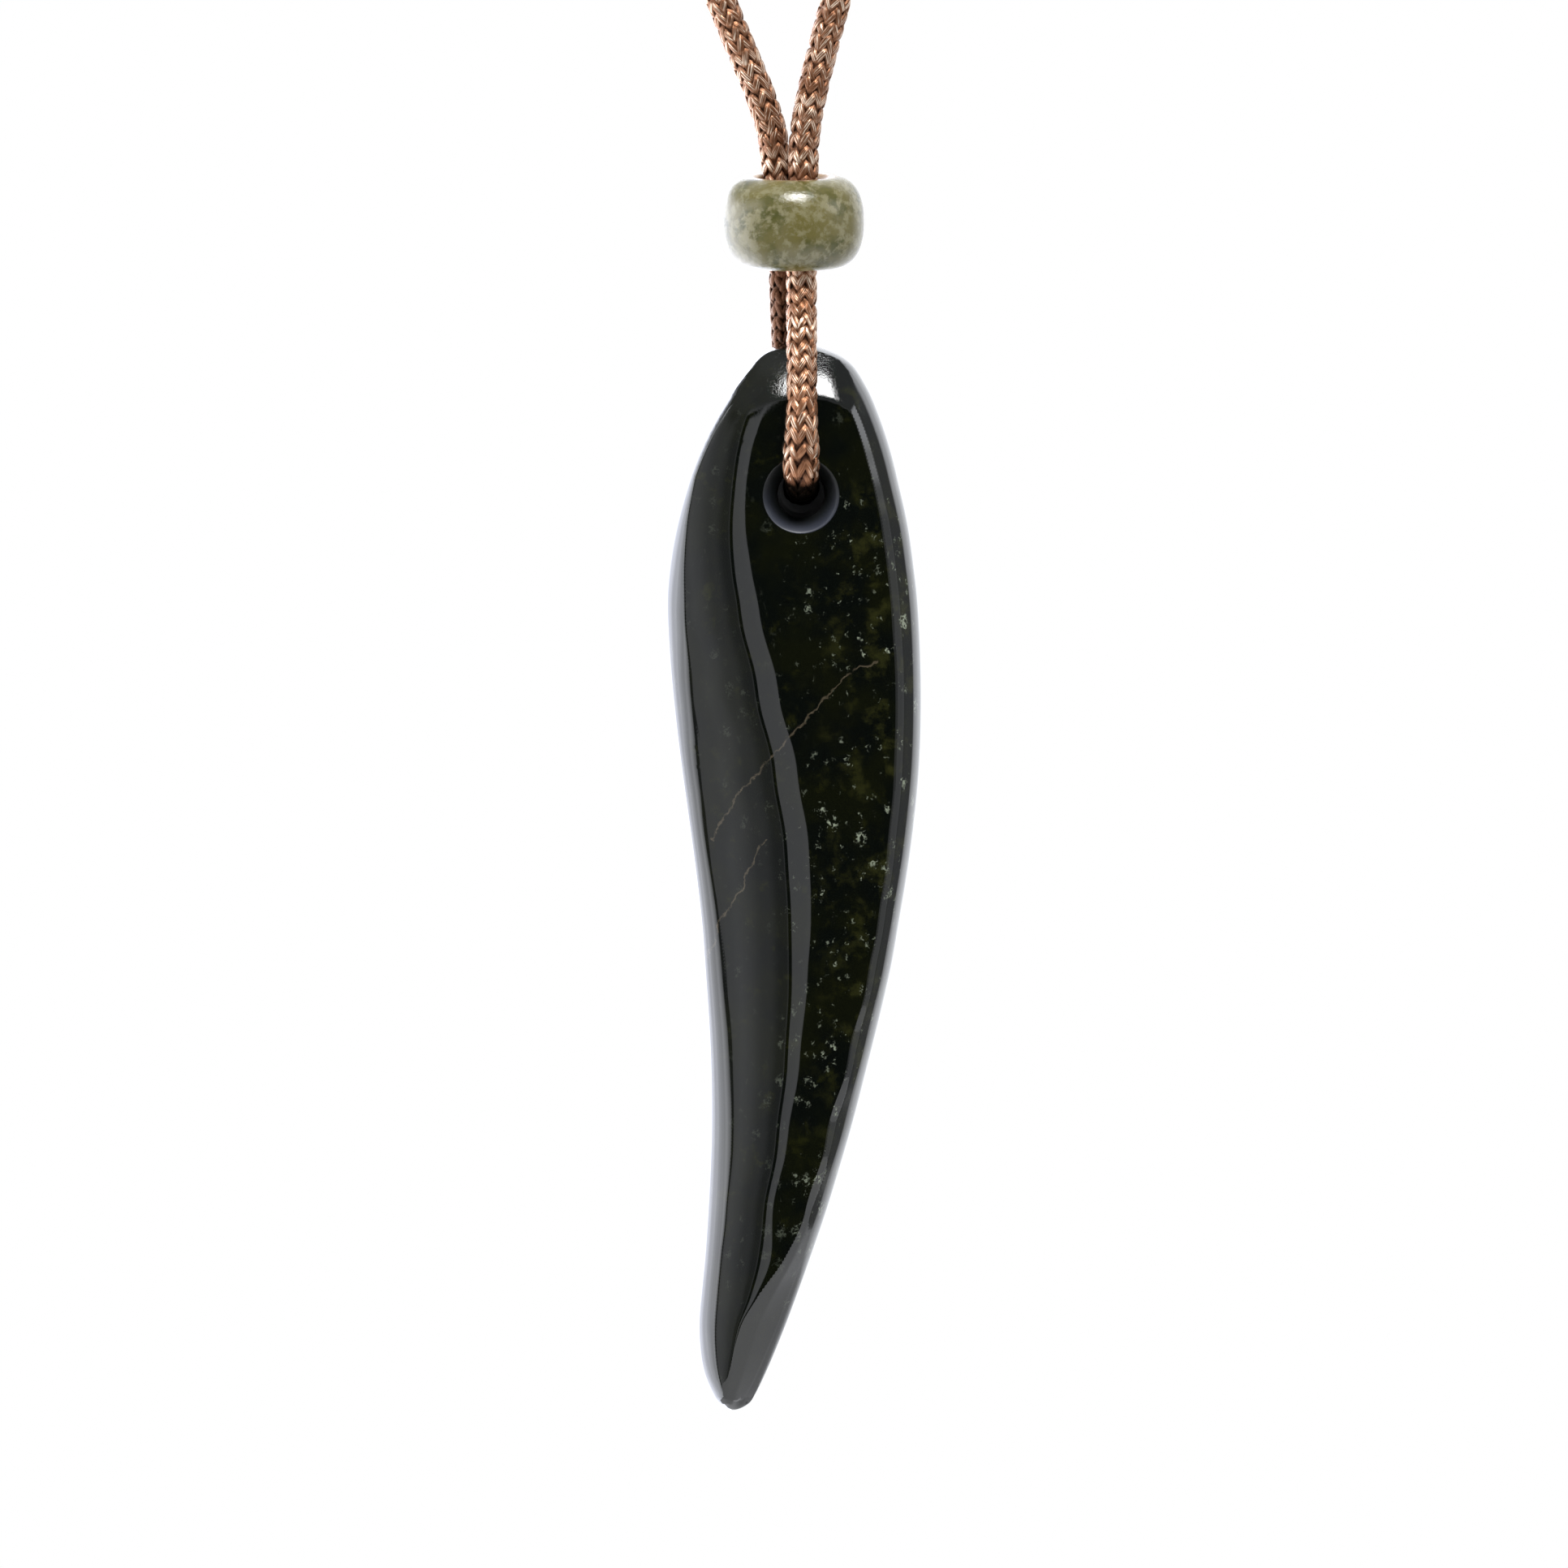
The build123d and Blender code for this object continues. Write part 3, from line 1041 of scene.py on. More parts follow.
@dataclass
class NeckCord:
    """Braided cord from the knot through the bead and the drop and back, as one loop."""

    diameter: float = 1.6
    knot_end: float = 0.5
    nape_z: float = 2.4
    bight_x: float = 0.47
    bight_z: float = -222.0
    fineness: int = 40
    path_pitch: float = 0.1
    fine_pitch: float = 0.16
    plain_pitch: float = 0.36
    seen_above_bight: float = 30.0
    hole_fill: float = 1.27
    hole_reach: float = 1.1
    hole_shade: float = 2.0
    hole_shade_fades: tuple = (3.0, 3.7)
    bight_depth: float = 0.86
    bight_depth_at: tuple = (3.6, 2.0)
    bight_width: float = 1.24
    bight_width_at: tuple = (4.2, 1.6)
    rear_shade: float = 1.2
    rear_starts: tuple = (5.0, 7.0)
    rear_fades: tuple = (14.0, 15.5)
    upper_shade: float = 0.5
    upper_starts: tuple = (14.0, 17.0)

    def route(self) -> list[tuple[float, float, float]]:
        """Control points of the loop, with one more inside the knot at each end.

        Returns:
            The points in millimetres.
        """
        low = self.bight_z
        return [
            (self.knot_end, 0.0, self.nape_z),
            (4.0, 0.0, self.nape_z),
            (14.0, 0.0, self.nape_z),
            (28.5, 0.0, -3.5),
            (39.7, 0.0, -13.7),
            (47.3, 0.0, -28.0),
            (50.4, 0.0, -47.5),
            (46.0, 0.0, -73.0),
            (34.0, 0.0, -107.0),
            (19.6, 0.0, -145.0),
            (8.9, 0.0, -174.6),
            (4.1, -0.05, -190.0),
            (1.85, -0.25, low + 23.8),
            (0.66, -0.50, low + 19.0),
            (0.56, -0.62, low + 16.2),
            (0.48, -0.76, low + 11.0),
            (0.50, -2.25, low + 7.2),
            (0.52, -3.45, low + 3.5),
            (self.bight_x, -3.45, low + 1.7),
            (self.bight_x, -3.28, low + 0.75),
            (self.bight_x, -2.2, low + 0.10),
            (self.bight_x, -1.0, low),
            (self.bight_x, 1.0, low),
            (self.bight_x, 2.2, low + 0.05),
            (self.bight_x, 3.42, low + 0.6),
            (0.20, 3.45, low + 3.5),
            (-0.30, 2.25, low + 7.2),
            (-0.40, 0.76, low + 11.0),
            (-0.76, 0.62, low + 16.2),
            (-1.08, 0.48, low + 19.0),
            (-3.10, 0.15, low + 23.8),
            (-6.50, 0.03, -190.0),
            (-12.9, 0.0, -174.8),
            (-24.6, 0.0, -145.5),
            (-38.2, 0.0, -107.5),
            (-47.6, 0.0, -72.5),
            (-50.6, 0.0, -47.5),
            (-47.3, 0.0, -27.5),
            (-39.5, 0.0, -13.4),
            (-28.3, 0.0, -3.4),
            (-14.0, 0.0, self.nape_z),
            (-4.0, 0.0, self.nape_z),
            (-self.knot_end, 0.0, self.nape_z),
        ]

    def shape_at(self, lowest: float, stations: np.ndarray) -> tuple[np.ndarray, ...]:
        """Shape and painted shade: full inside the hole and flat where the cord leaves it, with shade
        painted inside the hole, on the rear leg and above the bead.

        Args:
            lowest: Distance along the cord of the middle of the hole.
            stations: Distances along the cord.

        Returns:
            Scales across and in depth, and the shade, at each distance.
        """
        after = stations - lowest
        away = np.abs(after)
        filled = (self.hole_fill - 1.0) * np.exp(-(away / self.hole_reach) ** 4)
        (flat_at, flat_reach), (wide_at, wide_reach) = self.bight_depth_at, self.bight_width_at
        flat = (self.bight_depth - 1.0) * np.exp(-((away - flat_at) / flat_reach) ** 2)
        spread = (self.bight_width - 1.0) * np.exp(-((away - wide_at) / wide_reach) ** 2)
        # Painted shade: near black inside the hole, darker on the rear leg between the hole and the bead,
        # and darker on the legs above the bead.
        painted_hole_shade = self.hole_shade * (1.0 - smoothstep(away, *self.hole_shade_fades))
        behind = smoothstep(after, *self.rear_starts) * (1.0 - smoothstep(after, *self.rear_fades))
        upper = smoothstep(away, *self.upper_starts)
        shade = painted_hole_shade + self.rear_shade * behind + self.upper_shade * upper
        return 1.0 + filled + spread, 1.0 + filled + flat, shade

    def build(self, finish: bpy.types.Material) -> list[bpy.types.Object]:
        """Makes the loop in stretches, the seen one finest.

        Args:
            finish: Material of the braid.

        Returns:
            The pieces.
        """
        path = CordPath(read_curve(self.route(), self.fineness), (0.0, 1.0, 0.0), self.path_pitch)
        heights = path.points[:, 2]
        lowest = float(path.stations[np.argmin(heights)])
        seen = path.stations[heights < self.bight_z + self.seen_above_bight]
        braid = Braid(self.diameter)
        right, left = float(seen[0]), float(seen[-1])
        half_left = (left + path.length) / 2
        stretches = {
            "cord_right_nape": (0.0, right / 2, self.plain_pitch),
            "cord_right_chest": (right / 2, right, self.plain_pitch),
            "cord_low": (right, left, self.fine_pitch),
            "cord_left_chest": (left, half_left, self.plain_pitch),
            "cord_left_nape": (half_left, path.length, self.plain_pitch),
        }
        pieces = []
        for name, (start, end, pitch) in stretches.items():
            piece = braid.piece(name, path, (start, end), pitch, Body.LOOP, partial(self.shape_at, lowest))
            piece.data.materials.append(finish)
            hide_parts("neck_cord")
            pieces.append(piece)
        LOG.info("cord %.1f mm long, seen from %.1f to %.1f mm", path.length, right, left)
        return pieces


@dataclass
class CordKnot:
    """Barrel knot: the cord wrapped round itself where the loop's ends meet."""

    wraps: int = 5
    cord_diameter: float = 1.6
    points_each_turn: int = 16
    pitch: float = 0.30
    tail: float = 1.2
    tuck: float = 0.3
    tuck_rise: float = 0.5
    corner_cut: float = 0.98
    fineness: int = 12
    path_pitch: float = 0.1

    def build(self, finish: bpy.types.Material) -> bpy.types.Object:
        """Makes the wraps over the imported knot's length and width.

        Args:
            finish: Material of the braid.

        Returns:
            The knot.
        """
        low, high, centre = in_millimetres(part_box("cord_knot"))
        radius = (high.z - low.z - self.cord_diameter) / 2
        start = low.x + self.cord_diameter / 2
        reach = high.x - low.x - self.cord_diameter
        risen = centre.z + radius * self.tuck_rise
        count = self.wraps * self.points_each_turn
        points = [(start + self.tail, centre.y, centre.z), (start + self.tuck, centre.y, risen)]
        for step in range(count + 1):
            share = step / count
            angle = 2 * math.pi * self.wraps * share
            points.append((start + reach * share, centre.y + radius * math.sin(angle) / self.corner_cut,
                           centre.z + radius * math.cos(angle) / self.corner_cut))
        points.append((start + reach - self.tuck, centre.y, risen))
        points.append((start + reach - self.tail, centre.y, centre.z))
        path = CordPath(read_curve(points, self.fineness), (1.0, 0.0, 0.0), self.path_pitch)
        braid = Braid(self.cord_diameter)
        piece = braid.piece("cord_knot_wraps", path, (0.0, path.length), self.pitch, Body.LOOP)
        piece.data.materials.append(finish)
        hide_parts("cord_knot")
        return piece


@dataclass
class JadeBead:
    """Barrel bead turned about the cord, with full round corners and soft bore mouths."""

    bore_radius: float = 1.85
    mouth_radius: float = 0.22
    fullness: float = 2.35
    segments: int = 144
    outside_steps: int = 56
    mouth_steps: int = 6
    wall_steps: int = 8
    unevenness: float = 0.035
    uneven_start: float = 0.7
    uneven_radii: tuple = (2.1, 3.4)
    lean: float = 3.0

    def profile(self, outer: float, half: float) -> np.ndarray:
        """Closed outline from the bottom mouth round the outside to the top mouth and down the bore.

        Args:
            outer: Outside radius.
            half: Half of the bead's height.

        Returns:
            Points as radius and height.
        """
        edge = self.bore_radius + self.mouth_radius
        angles = np.linspace(-math.pi / 2, math.pi / 2, self.outside_steps)
        power = 2 / self.fullness
        radii = edge + (outer - edge) * np.cos(angles).clip(0.0) ** power
        heights = half * np.sign(np.sin(angles)) * np.abs(np.sin(angles)) ** power
        mouth = np.linspace(0.0, math.pi / 2, self.mouth_steps)[1:]
        top_radii = edge - self.mouth_radius * np.sin(mouth)
        top_heights = half - self.mouth_radius * (1 - np.cos(mouth))
        wall = np.linspace(top_heights[-1], -top_heights[-1], self.wall_steps)[1:-1]
        low_radii = top_radii[::-1]
        low_heights = -top_heights[::-1]
        return np.stack([
            np.concatenate([radii, top_radii, np.full(len(wall), self.bore_radius), low_radii]),
            np.concatenate([heights, top_heights, wall, low_heights]),
        ], axis=1)

    def build(self, finish: bpy.types.Material) -> bpy.types.Object:
        """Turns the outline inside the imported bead's box.

        Args:
            finish: Material of the stone.

        Returns:
            The bead.
        """
        low, high, centre = in_millimetres(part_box("jade_bead"))
        outer, half = ((high[axis] - low[axis]) / 2 - self.unevenness for axis in (0, 2))
        outline = self.profile(outer, half)
        turn = full_turn(self.segments)[:, None]
        radii, heights = outline[:, 0][None, :], outline[:, 1][None, :]
        grown = smoothstep(radii, *self.uneven_radii)
        wave = self.unevenness * np.sin(2 * turn + self.uneven_start) * grown
        across, deep = (radii + wave) * np.cos(turn), (radii + wave) * np.sin(turn)
        lean = math.radians(self.lean)
        vertices = np.stack([
            centre.x + across,
            centre.y + deep * math.cos(lean) - heights * math.sin(lean),
            centre.z + deep * math.sin(lean) + heights * math.cos(lean),
        ], axis=-1).reshape(-1, 3)
        count = len(outline)
        ring, step = np.meshgrid(np.arange(self.segments), np.arange(count), indexing="ij")
        beside, following = (ring + 1) % self.segments, (step + 1) % count
        faces = np.stack([ring * count + step, beside * count + step, beside * count + following,
                          ring * count + following], axis=-1).reshape(-1, 4)
        piece = new_piece("jade_bead_stone", vertices, faces.tolist(), Body.LOOP)
        piece.data.materials.append(finish)
        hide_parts("jade_bead")
        return piece


class Level(NamedTuple):
    """Lines that run down the drop's front, at one level.

    fall is a share of the drop's height below its top. The lines are shares of its width from the hole's
    axis, from left to right: the left outline, the inner edge of the left rim, the edges between left
    bevel, cove, ridge strip and face, the shoulder of the right bevel and the right outline. depth is a
    share of the front's full height over the rim.
    """

    fall: float
    left: float
    rim: float
    bevel: float
    cove: float
    strip: float
    shoulder: float
    right: float
    depth: float


LEVELS = [
    Level(0.005, -0.131, -0.118, -0.096, -0.067, -0.038, 0.042, 0.099, 1.0),
    Level(0.017, -0.192, -0.176, -0.144, -0.112, -0.080, 0.099, 0.190, 1.0),
    Level(0.040, -0.270, -0.251, -0.208, -0.166, -0.118, 0.150, 0.256, 1.0),
    Level(0.070, -0.350, -0.329, -0.274, -0.220, -0.163, 0.211, 0.310, 1.0),
    Level(0.101, -0.412, -0.388, -0.316, -0.250, -0.195, 0.250, 0.352, 1.0),
    Level(0.131, -0.457, -0.420, -0.341, -0.266, -0.213, 0.284, 0.383, 1.0),
    Level(0.169, -0.498, -0.446, -0.355, -0.277, -0.214, 0.314, 0.418, 1.0),
    Level(0.207, -0.522, -0.456, -0.353, -0.268, -0.192, 0.336, 0.441, 1.0),
    Level(0.245, -0.530, -0.454, -0.335, -0.243, -0.160, 0.352, 0.458, 1.0),
    Level(0.322, -0.508, -0.425, -0.280, -0.176, -0.086, 0.368, 0.471, 1.0),
    Level(0.398, -0.470, -0.380, -0.228, -0.108, -0.012, 0.362, 0.463, 0.99),
    Level(0.474, -0.426, -0.345, -0.184, -0.062, 0.034, 0.335, 0.430, 0.98),
    Level(0.540, -0.393, -0.311, -0.159, -0.047, 0.041, 0.298, 0.386, 0.965),
    Level(0.588, -0.378, -0.294, -0.147, -0.045, 0.028, 0.259, 0.350, 0.95),
    Level(0.665, -0.359, -0.272, -0.143, -0.061, -0.002, 0.183, 0.273, 0.92),
    Level(0.741, -0.356, -0.268, -0.162, -0.096, -0.050, 0.096, 0.190, 0.88),
    Level(0.817, -0.371, -0.294, -0.205, -0.147, -0.110, 0.008, 0.094, 0.82),
    Level(0.859, -0.383, -0.314, -0.226, -0.168, -0.117, -0.070, 0.033, 0.78),
    Level(0.885, -0.394, -0.325, -0.237, -0.200, -0.167, -0.156, -0.006, 0.75),
    Level(0.924, -0.406, -0.337, -0.266, -0.258, -0.250, -0.247, -0.067, 0.69),
    Level(0.962, -0.388, -0.326, -0.290, -0.282, -0.274, -0.272, -0.133, 0.57),
    Level(0.985, -0.350, -0.300, -0.304, -0.301, -0.298, -0.296, -0.180, 0.43),
    Level(0.994, -0.324, -0.276, -0.298, -0.295, -0.292, -0.290, -0.206, 0.33),
]
APEX_SHARE = -0.010
TIP_SHARE = -0.266


@dataclass
class JadeDrop:
    """Carved drop: a rimmed front of bevels, cove, ridge strip and face, a crowned back and a hole."""

    front_height: float = 3.3
    back_height: float = 1.9
    cap_x: float = 0.35
    cap_start: float = 0.93
    cap_height: float = 2.3
    cap_slope: float = 0.71
    cap_bend: float = 0.081
    cap_bend_reach: float = 3.0
    cap_arch: float = 0.083
    cap_left_bend: float = 0.0025
    cap_right_bend: float = 0.006
    cap_softness: float = 0.03
    cap_left_softness: float = 0.13
    cap_left_x: tuple = (-2.2, -0.4)
    cap_left_gap: tuple = (0.1, 1.1)
    left_slope: float = 42.0
    right_slope: float = 66.0
    bevel_slope: float = 24.0
    cove_slope: float = 18.0
    strip_slope: float = 8.0
    face_slope: float = -1.5
    inner_fall: float = -38.0
    outer_fall: float = -56.0
    most_fall: float = 0.58
    fall_sharpness: int = 6
    turn_share: float = 0.45
    narrow_rim: float = 0.42
    least_rim_height: float = 0.3
    rim_crossing: tuple = (0.3, 0.7)
    rim_leans: tuple = (0.02, 0.45)
    lean_reach: float = 0.3
    most_slant: float = 2.0
    back_rim: float = 1.3
    back_crown: float = 0.16
    back_over: float = 1.02
    back_softness: float = 0.08
    least_half_width: float = 0.5
    crease: float = 0.014
    bow: float = 0.028
    bevel_softness: float = 0.035
    line_softness: float = 0.62
    bore_radius: float = 1.25
    waist_radius: float = 0.91
    waist_sharpness: float = 0.7
    sink_width: float = 0.68
    sink_slope: float = 0.9
    sink_bend: float = 1.3
    sink_softness: float = 0.012
    sink_reach: int = 4
    hole_from_hinge: float = -0.33
    end_gap: float = 0.4
    outline_pitch: float = 0.15
    grid_pitch: float = 0.24
    line_pitch: float = 0.18
    line_end: float = 0.3
    line_spacing: float = 0.045
    rim_spacing: float = 0.06
    grid_spacing: float = 0.14
    clear_of_rim: float = 0.04
    clear_of_hole: float = 0.06

    RIM_OFFSETS = (0.012, 0.035, 0.07, 0.12, 0.18, 0.25, 0.34, 0.50, 0.62, 0.76)
    EDGE_ROWS = 4
    HOLE_OFFSETS = (0.0, 0.1, 0.22, 0.34, 0.46, 0.58, 0.64, 0.68, 0.72, 0.78, 0.88, 1.02, 1.2)
    LINE_OFFSETS = (0.0, -0.05, 0.05, -0.13, 0.13)
    HOLE_SIDES = 96
    WALL_RINGS = 11
    SPAN_STEPS = 24
    READ_PITCH = 0.1
    READ_REACH = 20
    LEAST = 0.05
    NUDGE = 0.006
    BLOCK = 2000
    MERGE = 1e-6
    HOLE_SHARE = 0.999

    def __post_init__(self) -> None:
        """Takes the drop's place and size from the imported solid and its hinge."""
        low, high, _ = in_millimetres(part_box("jade_drop"))
        hinge = frame["joints"][0]["pos_m"]
        self.top = high.z
        self.height = high.z - low.z
        self.width = high.x - low.x
        self.hole_x = hinge[0] / MM
        self.waist_z = hinge[2] / MM
        self.hole_z = self.waist_z + self.hole_from_hinge
        self.rim_y = high.y - self.back_height
        self.columns = self.smooth_columns()
        self.outline = self.trace_outline()
        self.columns.update(self.outline_columns())

    def outline_columns(self) -> dict[str, tuple[np.ndarray, np.ndarray]]:
        """Left and right outline as lines that fit the traced outline exactly.

        Returns:
            Heights and places across for both lines.
        """
        loop = np.roll(self.outline, -int(self.outline[:, 1].argmax()), axis=0)
        tip = int(loop[:, 1].argmin())
        columns = {}
        for name, side in (("right", loop[:tip + 1][::-1]), ("left", loop[tip:])):
            low, high = side[0, 1] + self.end_gap, side[-1, 1] - self.end_gap
            side = side[(side[:, 1] > low) & (side[:, 1] < high)]
            columns[name] = (side[:, 1], (side[:, 0] - self.hole_x) / self.width)
        return columns

    def smooth_columns(self) -> dict[str, tuple[np.ndarray, np.ndarray]]:
        """Evens out the lines of the level table.

        Returns:
            Heights and places across for each line.
        """
        falls = np.array([level.fall for level in LEVELS])
        heights = np.arange(self.top - self.height, self.top, self.READ_PITCH)
        reach = np.arange(-self.READ_REACH, self.READ_REACH + 1) * self.READ_PITCH
        weights = np.exp(-0.5 * (reach / self.line_softness) ** 2)
        weights /= weights.sum()
        columns = {}
        for name in Level._fields[1:]:
            values = np.array([getattr(level, name) for level in LEVELS])
            read = smooth_table((self.top - heights) / self.height, falls, values)
            padded = np.pad(read, self.READ_REACH, mode="reflect", reflect_type="odd")
            columns[name] = (heights, np.convolve(padded, weights, mode="valid"))
        return columns

    def column(self, name: str, z: np.ndarray) -> np.ndarray:
        """One line of the level table as places across, in millimetres, at some heights."""
        read = np.interp(z, *self.columns[name])
        return read if name == "depth" else self.hole_x + read * self.width

    def slant(self, name: str, z: np.ndarray) -> np.ndarray:
        """Length of a line for each millimetre of height."""
        above, below = self.column(name, z + self.lean_reach), self.column(name, z - self.lean_reach)
        return np.minimum(np.sqrt(1 + ((above - below) / (2 * self.lean_reach)) ** 2), self.most_slant)

    def inner_rim(self, z: np.ndarray) -> np.ndarray:
        """Inner edge of the left rim."""
        least = self.column("left", z) + self.narrow_rim * self.slant("left", z)
        return np.maximum(self.column("rim", z), least)

    def outer_rim(self, z: np.ndarray) -> np.ndarray:
        """Inner edge of the right rim."""
        return self.column("right", z) - self.narrow_rim * self.slant("right", z)

    def turn_line(self, z: np.ndarray) -> np.ndarray:
        """Edge between the inner and the outer half of the right bevel."""
        shoulder = self.column("shoulder", z)
        return shoulder + self.turn_share * (self.outer_rim(z) - shoulder)

    def trace_outline(self) -> np.ndarray:
        """Smooth closed outline of the drop, seen from the front.

        Returns:
            Even points as x and z, clockwise from the top.
        """
        spots = [(APEX_SHARE, 0.0)]
        spots += [(level.right, level.fall) for level in LEVELS]
        spots += [(TIP_SHARE, 1.0)]
        spots += [(level.left, level.fall) for level in reversed(LEVELS)]
        corners = [
            Vector((self.hole_x + x * self.width, self.top - fall * self.height)) for x, fall in spots]
        line = []
        for here in range(len(corners)):
            line += self.span([corners[(here + step) % len(corners)] for step in (-1, 0, 1, 2)])
        line = np.array(line + line[:1])
        reach = np.concatenate([[0.0], np.cumsum(np.linalg.norm(np.diff(line, axis=0), axis=1))])
        even = np.linspace(0.0, reach[-1], int(reach[-1] / self.outline_pitch) + 1)[:-1]
        return read_rows(even, reach, line)

    @classmethod
    def span(cls, knots: list[Vector]) -> list[tuple[float, float]]:
        """Points of a centripetal spline between the middle two of four knots.

        Args:
            knots: The four knots.

        Returns:
            The points, without the last.
        """
        ticks = [0.0]
        for first, second in zip(knots, knots[1:]):
            ticks.append(ticks[-1] + math.sqrt((second - first).length))
        points = []
        for step in range(cls.SPAN_STEPS):
            tick = ticks[1] + (ticks[2] - ticks[1]) * step / cls.SPAN_STEPS
            pairs = [cls.between(knots[place], knots[place + 1], tick, ticks[place], ticks[place + 1])
                     for place in range(3)]
            triples = [cls.between(pairs[place], pairs[place + 1], tick, ticks[place], ticks[place + 2])
                       for place in range(2)]
            points.append(tuple(cls.between(triples[0], triples[1], tick, ticks[1], ticks[2])))
        return points

    @staticmethod
    def between(first: Vector, second: Vector, tick: float, low: float, high: float) -> Vector:
        """Place between two others, as tick lies between low and high."""
        share = (tick - low) / (high - low)
        return first * (1 - share) + second * share

    def inward(self) -> np.ndarray:
        """Direction into the stone at each point of the outline."""
        run = unit(np.roll(self.outline, -1, axis=0) - np.roll(self.outline, 1, axis=0))
        return np.stack([run[:, 1], -run[:, 0]], axis=1)

    def rim_gap(self, spots: np.ndarray) -> tuple[np.ndarray, np.ndarray]:
        """Distance of each spot from the outline, and the direction away from it.

        Args:
            spots: Places as x and z.

        Returns:
            Distances, and unit directions from the nearest point of the outline.
        """
        starts = self.outline
        runs = np.roll(starts, -1, axis=0) - starts
        lengths = (runs ** 2).sum(axis=1)
        distances = np.empty(len(spots))
        directions = np.empty((len(spots), 2))
        for first in range(0, len(spots), self.BLOCK):
            rows = slice(first, first + self.BLOCK)
            block = spots[rows, None, :] - starts[None, :, :]
            share = np.clip((block * runs[None]).sum(axis=2) / lengths, 0.0, 1.0)
            gap = block - share[..., None] * runs[None]
            square = (gap ** 2).sum(axis=2)
            nearest = square.argmin(axis=1)
            each = np.arange(len(nearest))
            distances[rows] = np.sqrt(square[each, nearest])
            directions[rows] = unit(gap[each, nearest])
        return distances, directions

    def front(self, spots: np.ndarray, gap: np.ndarray) -> np.ndarray:
        """Height of the front over the rim plane.

        Args:
            spots: Places as x and z.
            gap: Distance of each from the outline.

        Returns:
            Heights towards the viewer.
        """
        x, z = spots[:, 0], spots[:, 1]
        line = {name: self.column(name, z) for name in Level._fields[1:-1]}
        line["rim"] = self.inner_rim(z)
        tan = {name: math.tan(math.radians(getattr(self, name))) for name in (
            "left_slope", "right_slope", "bevel_slope", "cove_slope", "strip_slope", "face_slope",
            "inner_fall", "outer_fall")}
        crest = self.front_height * self.column("depth", z)
        at_cove = crest - tan["strip_slope"] * (line["strip"] - line["cove"])
        at_bevel = at_cove - tan["cove_slope"] * (line["cove"] - line["bevel"])
        across = line["bevel"] - line["rim"]
        at_rim = at_bevel - tan["bevel_slope"] * across - self.bow * across ** 2
        at_shoulder = crest + tan["face_slope"] * (line["shoulder"] - line["strip"])
        outer_rim = self.outer_rim(z)
        turn_x = self.turn_line(z)
        drop = tan["inner_fall"] * (line["shoulder"] - turn_x) + tan["outer_fall"] * (turn_x - outer_rim)
        fall = np.maximum(drop, self.LEAST) / (self.most_fall * crest)
        ease = (1 + fall ** self.fall_sharpness) ** (-1 / self.fall_sharpness)
        inner_fall, outer_fall = tan["inner_fall"] * ease, tan["outer_fall"] * ease
        at_turn = at_shoulder + inner_fall * (turn_x - line["shoulder"])
        at_outer = at_turn + outer_fall * (outer_rim - turn_x)
        share = smoothstep((x - line["left"]) / (line["right"] - line["left"]), *self.rim_crossing)
        left_rim = (line["rim"] - line["left"]) / self.slant("left", z)
        rim_width = (1 - share) * left_rim + share * self.narrow_rim
        rim_height = np.maximum((1 - share) * at_rim + share * at_outer, self.least_rim_height * crest)
        rim_slope = (1 - share) * tan["left_slope"] + share * tan["right_slope"]
        bevel, cove = x - line["bevel"], x - line["cove"]
        hollow = soft_min(np.stack([
            at_bevel + tan["bevel_slope"] * bevel - self.bow * np.minimum(bevel, 0.0) ** 2,
            at_cove + tan["cove_slope"] * cove - self.bow * np.minimum(cove, 0.0) ** 2,
        ]), self.bevel_softness)
        sheets = np.stack([
            self.round_rim(gap, rim_width, rim_height, rim_slope),
            hollow,
            crest + tan["strip_slope"] * (x - line["strip"]),
            crest + tan["face_slope"] * (x - line["strip"]),
            at_shoulder + inner_fall * (x - line["shoulder"]),
            at_turn + outer_fall * (x - turn_x),
        ])
        carved = soft_min(sheets, self.crease)
        beside = (1 - smoothstep(x, *self.cap_left_x)) * smoothstep(gap, *self.cap_left_gap)
        softness = self.cap_softness + self.cap_left_softness * beside
        return np.maximum(soft_min(np.stack([carved, self.cap(x, z)]), softness), 0.0)

    def cap(self, x: np.ndarray, z: np.ndarray) -> np.ndarray:
        """Domed top end, a slope that flattens downwards and meets the face in an arch.

        Args:
            x: Places across.
            z: Places up.

        Returns:
            Heights towards the viewer.
        """
        side = (x - self.cap_x) ** 2
        bend = np.where(x > self.cap_x, self.cap_right_bend, self.cap_left_bend)
        below = self.top - z - self.cap_arch * side - bend * side ** 2 - self.cap_start
        flatter = self.cap_bend * np.clip(below, 0.0, self.cap_bend_reach) ** 2
        return self.cap_height + self.cap_slope * below - flatter

    def round_rim(self, gap: np.ndarray, width: np.ndarray, height: np.ndarray,
                  slope: np.ndarray) -> np.ndarray:
        """Rim that stands upright at the outline and leans over to a slope at its inner edge.

        Args:
            gap: Distance from the outline.
            width: Width of the rim.
            height: Height at its inner edge.
            slope: Slope there.

        Returns:
            Heights, which rise on at that slope past the rim.
        """
        width = np.maximum(width, self.LEAST)
        lean = np.clip(slope * width / np.maximum(height, self.LEAST), *self.rim_leans)
        left = lean / (1 - lean)
        reach = width / (1 - left)
        full = height / np.sqrt(1 - left ** 2)
        inside = np.clip(1 - np.minimum(gap, width) / reach, 0.0, 1.0)
        return full * np.sqrt(1 - inside ** 2) + slope * np.maximum(gap - width, 0.0)

